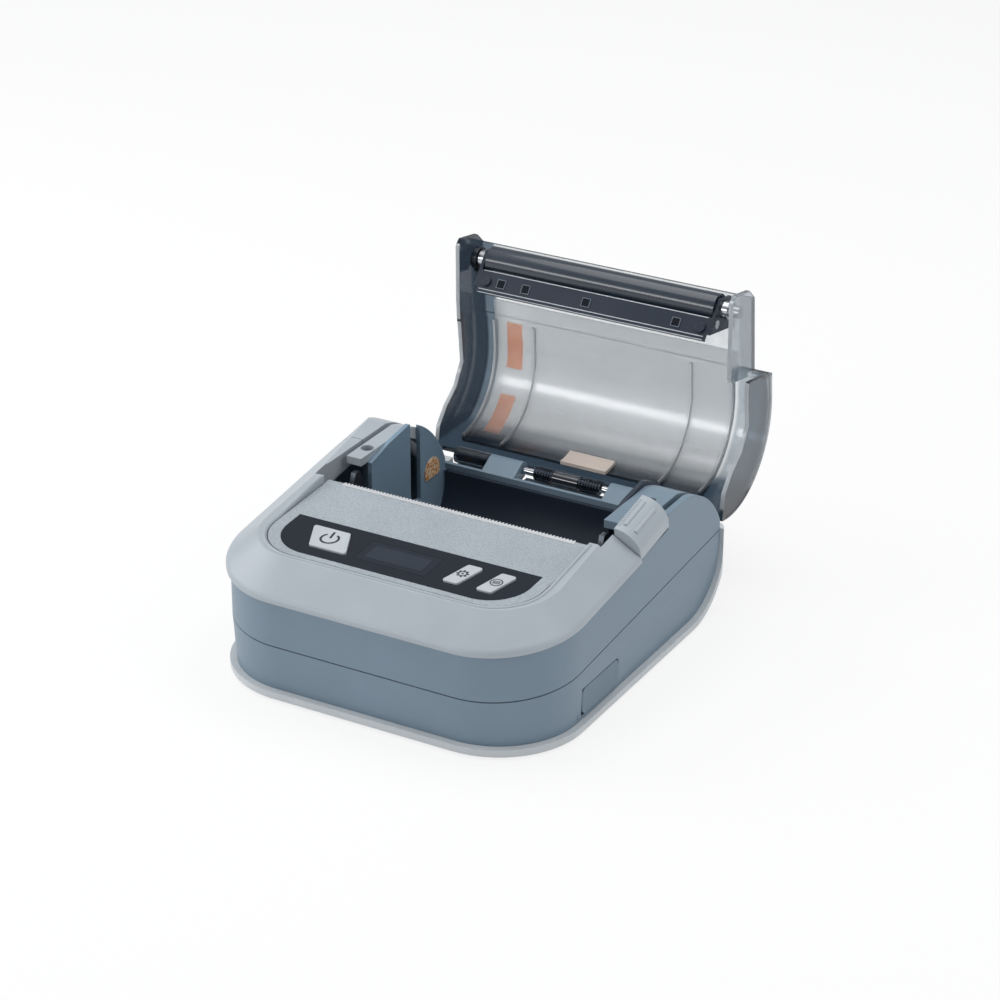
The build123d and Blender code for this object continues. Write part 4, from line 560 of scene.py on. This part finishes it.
# Label: small round-topped paper label on the bay's left wall, with a fine guilloche of rings
# in gold and orange that stands for no words.
label_middle = (0.0, 0.0496, 0.0268)
label_paper = moulded("label_paper", shade(222, 190, 148), 0.5)
label_nodes = label_paper.node_tree.nodes
label_links = label_paper.node_tree.links
label_where = label_nodes.new("ShaderNodeTexCoord")
label_place = label_nodes.new("ShaderNodeMapping")
label_place.vector_type = "POINT"
label_place.inputs["Location"].default_value = tuple(-c for c in label_middle)
label_rings = label_nodes.new("ShaderNodeTexWave")
label_rings.wave_type = "RINGS"
label_rings.rings_direction = "X"
label_rings.inputs["Scale"].default_value = 190.0
label_rings.inputs["Distortion"].default_value = 9.0
label_rings.inputs["Detail Scale"].default_value = 3.0
label_inks = label_nodes.new("ShaderNodeValToRGB")
label_inks.color_ramp.elements[0].position = 0.35
label_inks.color_ramp.elements[1].position = 0.65
label_inks.color_ramp.elements[0].color = shade(196, 132, 74)
label_inks.color_ramp.elements[1].color = shade(232, 208, 176)
label_links.new(label_where.outputs["Object"], label_place.inputs["Vector"])
label_links.new(label_place.outputs["Vector"], label_rings.inputs["Vector"])
label_links.new(label_rings.outputs["Fac"], label_inks.inputs["Fac"])
label_links.new(label_inks.outputs["Color"], label_nodes["Principled BSDF"].inputs["Base Color"])
finish_node("bay_sticker", label_paper)

# Mechanism: pressed steel cradle that carries the glazed thermal head on its aluminium
# heatsink, with wound springs that press the head against the roller.
cradle_steel = metal("cradle_steel", shade(120, 126, 134), 0.35, streak=(1, 0.1, 1))
finish_node("mechanism_frame", cradle_steel)
head_glaze = glossy("head_glaze", shade(60, 54, 50), 0.15)
finish_node("thermal_head", head_glaze)
sink_aluminium = metal("sink_aluminium", shade(150, 154, 160), 0.4)
finish_node("head_heatsink", sink_aluminium)
spring_wire = metal("spring_wire", shade(66, 72, 82), 0.22)
finish_node("head_springs", spring_wire)

# Drive: black motor in the left of the body with a white moulded pinion on its shaft, and the
# black idler gear on a turned steel pin.
motor_coat = moulded("motor_coat", shade(60, 62, 66), 0.4)
finish_node("stepper_motor", motor_coat)
gear_white = moulded("gear_white", shade(222, 222, 216), 0.35)
finish_node("motor_pinion", gear_white)
gear_black = moulded("gear_black", shade(28, 34, 42), 0.22)
finish_node("idler_gear", gear_black)
turned_steel = metal("turned_steel", shade(206, 208, 213), 0.15)
finish_node("idler_axle", turned_steel)

# Battery and charging port: sleeved cell in the front of the body, and a folded steel socket
# behind a soft rubber flap.
cell_sleeve = glossy("cell_sleeve", shade(40, 52, 76), 0.3, coat=0.5)
finish_node("battery_pack", cell_sleeve)
port_steel = metal("port_steel", shade(190, 192, 196), 0.3)
finish_node("usb_port", port_steel)
flap_rubber = moulded("flap_rubber", shade(116, 134, 148), 0.6, depth=0.25)
finish_node("port_flap", flap_rubber)

# Release lever: pale rocker at the end of the right rail, with two long ridges for the finger.
# A row of fine ribs runs along its inner edge.
finish_node("release_lever", pale_bezel)
finish_node("lever_pin", turned_steel)
lever_foot = Vector((0, 0.0030, 0.0415))
lever_slope = radians(11.0)
lever_inner = 0.0505
lever_crest = 0.00955
rib_size = (0.0011, 0.0005, 0.0004)
rib_pitch = 0.00115
rib_first = 0.0022
rib_count = 13
rib_soft = 0.00012


def soft_block(size, soft):
    """Makes a small block at the origin and rounds its edges."""
    bpy.ops.mesh.primitive_cube_add(size=1.0)
    block = bpy.context.object
    block.scale = size
    bpy.ops.object.transform_apply(location=True, rotation=True, scale=True)
    bpy.ops.object.mode_set(mode="EDIT")
    bpy.ops.mesh.select_all(action="SELECT")
    bpy.ops.mesh.bevel(offset=soft, segments=2, affect="EDGES")
    bpy.ops.object.mode_set(mode="OBJECT")
    return block


lever_ribs = soft_block(rib_size, rib_soft)
rib_row = lever_ribs.modifiers.new("rib_row", "ARRAY")
rib_row.count = rib_count
rib_row.use_relative_offset = False
rib_row.use_constant_offset = True
rib_row.constant_offset_displace = (0, rib_pitch, 0)
bpy.ops.object.modifier_apply(modifier="rib_row")
lever_seat = Matrix.Translation(lever_foot) @ Matrix.Rotation(lever_slope, 4, "X")
rib_place = Matrix.Translation((lever_inner + rib_size[0] / 2, rib_first, lever_crest))
settle(lever_ribs, lever_seat @ rib_place)
bpy.ops.object.shade_smooth_by_angle(angle=smooth_turn)
fit_piece(lever_ribs, "lever_ribs", "lever", pale_bezel)

# Hinge: turned steel pin pushed through the knuckles of the shell and the lid, with two dark
# oiled torsion springs wound round it.
finish_node("hinge_pin", turned_steel)
finish_node("torsion_springs", spring_wire)

# Spring spacer: glossy black tube on the hinge pin that keeps the two springs apart.
# Turned from acetal rod, it turns freely on the pin.
hinge_joint = next(joint for joint in frame["joints"] if joint["name"] == "lid_hinge")
hinge_place = Vector(hinge_joint["pos_m"])
spacer_ends = (-0.00435, 0.00485)
spacer_round = 0.0023
spacer_bore = 0.00145
spacer_black = glossy("spacer_black", shade(24, 30, 40), 0.14)


def in_side_view(right, back=0.0, up=0.0):
    """Gives the place of a piece that is drawn flat and stands up in the view from the right."""
    return Matrix(((0, 0, 1, right), (1, 0, 0, back), (0, 1, 0, up), (0, 0, 0, 1)))


spring_spacer = flat_ring(spacer_round, spacer_round - spacer_bore, 48)
thicken(spacer_ends[1] - spacer_ends[0])
settle(spring_spacer, in_side_view(spacer_ends[0], hinge_place.y, hinge_place.z))
bpy.ops.object.shade_smooth_by_angle(angle=smooth_turn)
fit_piece(spring_spacer, "spring_spacer", "base", spacer_black)

# Hinge aprons: thin slate ledges of the lower shell under the hinge pin, between the body's own
# knuckles and beside them, which keep dust out of the gap behind the bay.
apron_back = (0.0622, 0.0668)
apron_top = 0.0247
apron_thick = 0.0006
apron_soft = 0.00015
apron_spans = ((-0.0408, -0.0283), (-0.0157, 0.0157), (0.0283, 0.0408))
hinge_aprons = flat_sheet()
bpy.ops.mesh.select_all(action="SELECT")
bpy.ops.mesh.delete(type="VERT")
for apron_left, apron_right in apron_spans:
    apron_middle = ((apron_left + apron_right) / 2, (apron_back[0] + apron_back[1]) / 2, apron_top)
    flat_bar(apron_middle, apron_right - apron_left, apron_back[1] - apron_back[0])
thicken(-apron_thick)
apron_round = hinge_aprons.modifiers.new("apron_round", "BEVEL")
apron_round.width = apron_soft
apron_round.segments = 2
bpy.ops.object.modifier_apply(modifier="apron_round")
fit_piece(hinge_aprons, "hinge_aprons", "base", slate_shell)

# Lid: smoke-tinted clear moulding. Its skin is thin and shows the light behind it. Its side walls
# are looked along: the left one is painted dark as painted shade, the right one pale as a painted
# highlight. Beside them the skin is mottled where it flowed.
lid_narrow = 0.0484
lid_reach = 0.0600
lid_low = (0.0300, 0.0312, 0.0420)
foot_tint = (0.045, 0.07, 0.10, 1)
foot_dusk = 0.72


def clear_moulding(name, stops, share, gloss, bend, mottle, patch):
    """Clear plastic with a tint that changes from side to side, darker low down, and flow marks."""
    stuff, nodes, links, surface = start_finish(name)
    surface.inputs["Transmission Weight"].default_value = share
    surface.inputs["IOR"].default_value = bend
    where = nodes.new("ShaderNodeTexCoord")
    split = nodes.new("ShaderNodeSeparateXYZ")
    across = nodes.new("ShaderNodeMapRange")
    across.inputs["From Min"].default_value = -lid_reach
    across.inputs["From Max"].default_value = lid_reach
    tint = nodes.new("ShaderNodeValToRGB")
    ramp = [((place + lid_reach) / (2 * lid_reach), colour) for place, colour in stops]
    band = tint.color_ramp.elements
    band[0].position, band[0].color = ramp[0]
    band[1].position, band[1].color = ramp[-1]
    for position, colour in ramp[1:-1]:
        band.new(position).color = colour
    flow = nodes.new("ShaderNodeTexNoise")
    flow.inputs["Scale"].default_value = 1 / patch
    flow.inputs["Detail"].default_value = 3.0
    marks = nodes.new("ShaderNodeMapRange")
    marks.inputs["From Min"].default_value = 0.35
    marks.inputs["From Max"].default_value = 0.65
    marks.inputs["To Min"].default_value = 1 - mottle
    marks.inputs["To Max"].default_value = 1 + mottle / 2
    tinted = nodes.new("ShaderNodeVectorMath")
    tinted.operation = "MULTIPLY"
    low = nodes.new("ShaderNodeMapRange")
    low.inputs["From Min"].default_value = lid_low[0]
    low.inputs["From Max"].default_value = lid_low[1]
    lower = nodes.new("ShaderNodeMapRange")
    lower.inputs["From Min"].default_value = lid_low[1]
    lower.inputs["From Max"].default_value = lid_low[2]
    lower.inputs["To Min"].default_value = foot_dusk
    deeper = nodes.new("ShaderNodeVectorMath")
    deeper.operation = "MULTIPLY"
    faded = nodes.new("ShaderNodeMix")
    faded.data_type = "RGBA"
    faded.inputs["A"].default_value = foot_tint
    rub = nodes.new("ShaderNodeMapRange")
    rub.inputs["To Min"].default_value = max(0.02, gloss - 0.03)
    rub.inputs["To Max"].default_value = gloss + 0.05
    links.new(where.outputs["Object"], split.inputs["Vector"])
    links.new(split.outputs["Z"], low.inputs["Value"])
    links.new(split.outputs["Z"], lower.inputs["Value"])
    links.new(tinted.outputs["Vector"], deeper.inputs[0])
    links.new(lower.outputs["Result"], deeper.inputs[1])
    links.new(low.outputs["Result"], faded.inputs["Factor"])
    links.new(deeper.outputs["Vector"], faded.inputs["B"])
    links.new(split.outputs["X"], across.inputs["Value"])
    links.new(across.outputs["Result"], tint.inputs["Fac"])
    links.new(where.outputs["Object"], flow.inputs["Vector"])
    links.new(flow.outputs["Fac"], marks.inputs["Value"])
    links.new(tint.outputs["Color"], tinted.inputs[0])
    links.new(marks.outputs["Result"], tinted.inputs[1])
    links.new(faded.outputs["Result"], surface.inputs["Base Color"])
    links.new(flow.outputs["Fac"], rub.inputs["Value"])
    links.new(rub.outputs["Result"], surface.inputs["Roughness"])
    return stuff


# The left wall's dark tint is painted shade and the right wall's pale tint is a painted highlight.
wall_painted_shade = (0.028, 0.042, 0.062, 1)
strip_grey = (0.16, 0.21, 0.26, 1)
skin_clear = (0.86, 0.89, 0.91, 1)
skin_grey = (0.50, 0.56, 0.60, 1)
wall_painted_glint = (0.50, 0.55, 0.59, 1)
wall_slate = (0.13, 0.18, 0.23, 1)
lid_smoke = clear_moulding(
    "lid_smoke",
    stops=(
        (-lid_narrow + 0.0001, wall_painted_shade),
        (-lid_narrow + 0.0003, strip_grey),
        (-0.0442, strip_grey),
        (-0.0436, skin_clear),
        (0.0436, skin_clear),
        (0.0445, skin_grey),
        (lid_narrow + 0.0002, wall_painted_glint),
        (0.0505, wall_painted_glint),
        (0.0530, wall_slate),
    ),
    share=0.92,
    gloss=0.10,
    bend=1.5,
    mottle=0.07,
    patch=0.0035,
)

# On the wide right wall a band along the skin of the rear curve is painted pale as a painted
# highlight.
flange_axis = (0, 0.0716, 0.0539)
flange_skin = (0.0246, 0.0252)
flange_from = 0.0535
lid_nodes = lid_smoke.node_tree.nodes
lid_links = lid_smoke.node_tree.links
lid_tint = next(node for node in lid_nodes if node.type == "VALTORGB")
lid_tinted = lid_tint.outputs["Color"].links[0].to_socket
lid_where = lid_nodes.new("ShaderNodeTexCoord")
lid_flat = lid_nodes.new("ShaderNodeVectorMath")
lid_flat.operation = "MULTIPLY"
lid_flat.inputs[1].default_value = (0, 1, 1)
lid_round = lid_nodes.new("ShaderNodeVectorMath")
lid_round.operation = "DISTANCE"
lid_round.inputs[1].default_value = flange_axis
lid_skin = lid_nodes.new("ShaderNodeMapRange")
lid_skin.inputs["From Min"].default_value = flange_skin[0]
lid_skin.inputs["From Max"].default_value = flange_skin[1]
lid_split = lid_nodes.new("ShaderNodeSeparateXYZ")
lid_side = lid_nodes.new("ShaderNodeMath")
lid_side.operation = "GREATER_THAN"
lid_side.inputs[1].default_value = flange_from
lid_glint_band = lid_nodes.new("ShaderNodeMath")
lid_glint_band.operation = "MULTIPLY"
lid_glint_mix = lid_nodes.new("ShaderNodeMix")
lid_glint_mix.data_type = "RGBA"
lid_glint_mix.inputs["B"].default_value = wall_painted_glint
lid_links.new(lid_where.outputs["Object"], lid_flat.inputs[0])
lid_links.new(lid_flat.outputs["Vector"], lid_round.inputs[0])
lid_links.new(lid_round.outputs["Value"], lid_skin.inputs["Value"])
lid_links.new(lid_where.outputs["Object"], lid_split.inputs["Vector"])
lid_links.new(lid_split.outputs["X"], lid_side.inputs[0])
lid_links.new(lid_skin.outputs["Result"], lid_glint_band.inputs[0])
lid_links.new(lid_side.outputs[0], lid_glint_band.inputs[1])
lid_links.new(lid_glint_band.outputs[0], lid_glint_mix.inputs["Factor"])
lid_links.new(lid_tint.outputs["Color"], lid_glint_mix.inputs["A"])
lid_links.new(lid_glint_mix.outputs["Result"], lid_tinted)
finish_node("lid_shell", lid_smoke)

# Lid rims: the polished free edges of the clear walls and the thick bead along the rear curve,
# moulded in one with the lid. Their pale tint is a painted highlight where they catch the light.
# They are drawn on the shut lid and then swung open with it.
lid_swing = radians(hinge_joint["range_deg"][1])
rim_thick = 0.00015
rim_half_wide = 0.00055
rim_painted_glint = (0.72, 0.77, 0.81, 1)
wall_middle = 0.0491
flange_middle = 0.0548
flange_start = (0.0230, 0.0374)
wall_edge = (
    (-0.0047, 0.0420),
    (-0.0047, 0.0334),
    (-0.0028, 0.0314),
    (0.0162, 0.0348),
    (0.0226, 0.0366),
    (0.0269, 0.0379),
    (0.0376, 0.0409),
    (0.0455, 0.0377),
    (0.0513, 0.0321),
    (0.0572, 0.0286),
    (0.0655, 0.0286),
)


def swing_open(piece):
    """Turns a piece that is settled on the shut lid to where the open lid holds it."""
    there = Matrix.Translation(hinge_place)
    back = Matrix.Translation(-hinge_place)
    settle(piece, there @ Matrix.Rotation(-lid_swing, 4, "X") @ back)


def lid_outline(points):
    """Draws an open outline in the lid's side view by extruding one corner from point to point."""
    flat_sheet()
    bpy.ops.mesh.select_mode(type="VERT")
    bpy.ops.mesh.select_all(action="SELECT")
    bpy.ops.mesh.merge(type="CENTER")
    bpy.ops.transform.translate(value=(points[0][0], points[0][1], 0))
    for start, end in zip(points, points[1:]):
        bpy.ops.mesh.extrude_region_move(
            TRANSFORM_OT_translate={"value": (end[0] - start[0], end[1] - start[1], 0)}
        )
    bpy.ops.object.mode_set(mode="OBJECT")


# Rim finish: clear plastic with a pale tint that is a painted highlight.
rim_glint_clear = clear_moulding(
    "rim_glint_clear",
    stops=((-lid_reach, rim_painted_glint), (lid_reach, rim_painted_glint)),
    share=0.35,
    gloss=0.12,
    bend=1.5,
    mottle=0.1,
    patch=0.006,
)


def lid_rim(name, points, right, thick, half_wide=0.0):
    """Draws one rim of the lid along its outline and fits it at a distance from the middle."""
    lid_outline(points)
    rim = drawn_bead(thick, half_wide)
    settle(rim, in_side_view(right))
    swing_open(rim)
    fit_piece(rim, name, "lid", rim_glint_clear)


lid_rim("left_wall_rim", wall_edge, -wall_middle, rim_thick, rim_half_wide)
lid_rim("right_wall_rim", wall_edge[:5], wall_middle, rim_thick, rim_half_wide)
flange_edge = (flange_start, *wall_edge[5:])
lid_rim("wide_wall_rim", flange_edge, flange_middle, rim_thick, rim_half_wide)

dome_middle = (0.0383, 0.0300)
dome_round = 0.0278
dome_start = 104.5
slope_front = 0.0235
bead_middle = 0.0550
bead_thick = 0.00065
bead_sunk = 0.0007
bead_reach = dome_round - bead_sunk
bead_step = 8.4
bead_points = 13
bead_turns = [radians(dome_start - step * bead_step) for step in range(bead_points)]
dome_curve = [
    (dome_middle[0] + bead_reach * cos(turn), dome_middle[1] + bead_reach * sin(turn))
    for turn in bead_turns
]
slope_run = dome_curve[0][0] - slope_front
slope_end = (slope_front, dome_curve[0][1] - slope_run * tan(radians(dome_start - 90)))
lid_rim("dome_bead", (slope_end, *dome_curve), bead_middle, bead_thick)

# Liner: clear inner skin of the lid with raised ribs, moulded on its own. It is paler than the
# lid because light gathers in it.
liner_tint = (0.95, 0.97, 0.985, 1)
liner_clear = clear_moulding(
    "liner_clear",
    stops=((-lid_reach, liner_tint), (lid_reach, liner_tint)),
    share=0.72,
    gloss=0.19,
    bend=1.6,
    mottle=0.02,
    patch=0.02,
)
finish_node("lid_liner", liner_clear)


# Stripes and pad: two bars printed in orange on the lid behind the liner, and a soft pale block
# that steadies the paper roll.
def soft_print(name, colour, share, painted_glow):
    """Thin print in a bright ink that lets part of the light through, brightened by a little
    painted glow.
    """
    film = moulded(name, colour, 0.5)
    surface = film.node_tree.nodes["Principled BSDF"]
    surface.inputs["Transmission Weight"].default_value = share
    surface.inputs["Emission Color"].default_value = colour
    # The emission is a painted glow that brightens the print.
    surface.inputs["Emission Strength"].default_value = painted_glow
    return film


stripe_print = soft_print("stripe_print", shade(255, 176, 100), share=0.5, painted_glow=0.16)
finish_node("lid_stripe", stripe_print)
pad_foam = moulded("pad_foam", shade(214, 200, 190), 0.7, skin=0.0006, depth=0.4, blend=0.12)
finish_node("roll_pad", pad_foam)

# Platen: ground rubber roller on a turned steel shaft that runs in two bushes, with its black
# gear pushed on at the left.
platen_rubber = glossy("platen_rubber", shade(42, 52, 64), 0.26, coat=0.6)
finish_node("platen_rubber", platen_rubber)
finish_node("platen_shaft", turned_steel)
bush_steel = metal("bush_steel", shade(200, 203, 208), 0.2)
finish_node("platen_bushes", bush_steel)
finish_node("platen_gear", gear_black)

# Bracket: black bar of coated sheet across the lid, with end plates that hold the platen's
# bushes. Thin bright metal strips along its edges are painted highlights where the edges catch the
# light.
bracket_black = moulded("bracket_black", shade(34, 44, 58), 0.32)
finish_node("platen_bracket", bracket_black)
finish_node("bracket_screws", bracket_black)
bar_foot = Vector((0, 0.0108, 0.0315))
bar_top = Vector((0, 0.0040, 0.0353))
bar_half = 0.0409
bar_run = (bar_top - bar_foot).length
bar_turn = atan2(bar_top.z - bar_foot.z, bar_top.y - bar_foot.y)
edge_inset = 0.0005
edge_long = 2 * (bar_half - edge_inset)
edge_thick = 0.0003
edge_soft = 0.00008


def on_bar(piece, right, up, lift):
    """Lays a piece drawn flat at the origin on the bar's face, with the lid open."""
    seat = Matrix.Translation(bar_foot) @ Matrix.Rotation(bar_turn, 4, "X")
    settle(piece, seat @ Matrix.Translation((right, up, lift)))
    swing_open(piece)


# Painted highlights: thin bright strips laid along the bar's edges.
painted_edge_glint = metal("painted_edge_glint", shade(206, 212, 218), 0.3, streak=(0.05, 1, 1))
for line_name, line_up, line_wide in (
    ("bar_edge_top", bar_run - 0.00022, 0.00026),
    ("bar_edge_fold", 0.0013, 0.00028),
    ("bar_edge_foot", 0.00015, 0.00022),
):
    edge_line = soft_block((edge_long, line_wide, edge_thick), edge_soft)
    on_bar(edge_line, 0, line_up, 0)
    fit_piece(edge_line, line_name, "lid", painted_edge_glint)

# Sensors: four dark windows of polished plastic in the bar, which look at the paper. Each sits
# in a thin raised frame.
sensor_gloss = glossy("sensor_gloss", shade(14, 20, 30), 0.10, coat=0.0)
finish_node("sensor_windows", sensor_gloss)
frame_grey = moulded("frame_grey", shade(116, 126, 138), 0.3)
sensor_side = 0.0026
sensor_up = 0.0040
sensor_spots = (-0.033, -0.024, -0.002, 0.030)
frame_line = 0.0002
frame_thick = 0.00025
frame_lift = 0.00002
for sensor, sensor_spot in enumerate(sensor_spots):
    bpy.ops.mesh.primitive_plane_add(size=sensor_side + 2 * frame_line)
    sensor_frame = bpy.context.object
    hollow_out(frame_line)
    thicken(frame_thick)
    on_bar(sensor_frame, sensor_spot, sensor_up, frame_lift)
    fit_piece(sensor_frame, f"sensor_frame_{sensor + 1}", "lid", frame_grey)

# End screw: round-headed plated screw on the outside of the right end plate, with a shallow
# round recess pressed into its head.
end_plate_face = 0.0424
screw_place = (0.0063, 0.0372)
screw_head = 0.0014
screw_thick = 0.0003
screw_rim = 0.0005
screw_recess = 0.00016
screw_soft = 0.00006
screw_stand = 0.00012
bpy.ops.mesh.primitive_cylinder_add(vertices=32, radius=screw_head, depth=screw_thick)
end_screw = bpy.context.object
bpy.ops.object.mode_set(mode="EDIT")
pick(end_screw, lambda place: place.z > 0)
bpy.ops.mesh.inset(thickness=screw_rim)
bpy.ops.transform.translate(value=(0, 0, -screw_recess))
bpy.ops.object.mode_set(mode="OBJECT")
screw_round = end_screw.modifiers.new("screw_round", "BEVEL")
screw_round.width = screw_soft
screw_round.segments = 2
bpy.ops.object.modifier_apply(modifier="screw_round")
settle(end_screw, in_side_view(end_plate_face + screw_stand, *screw_place))
swing_open(end_screw)
fit_piece(end_screw, "end_screw", "lid", plated_screw)
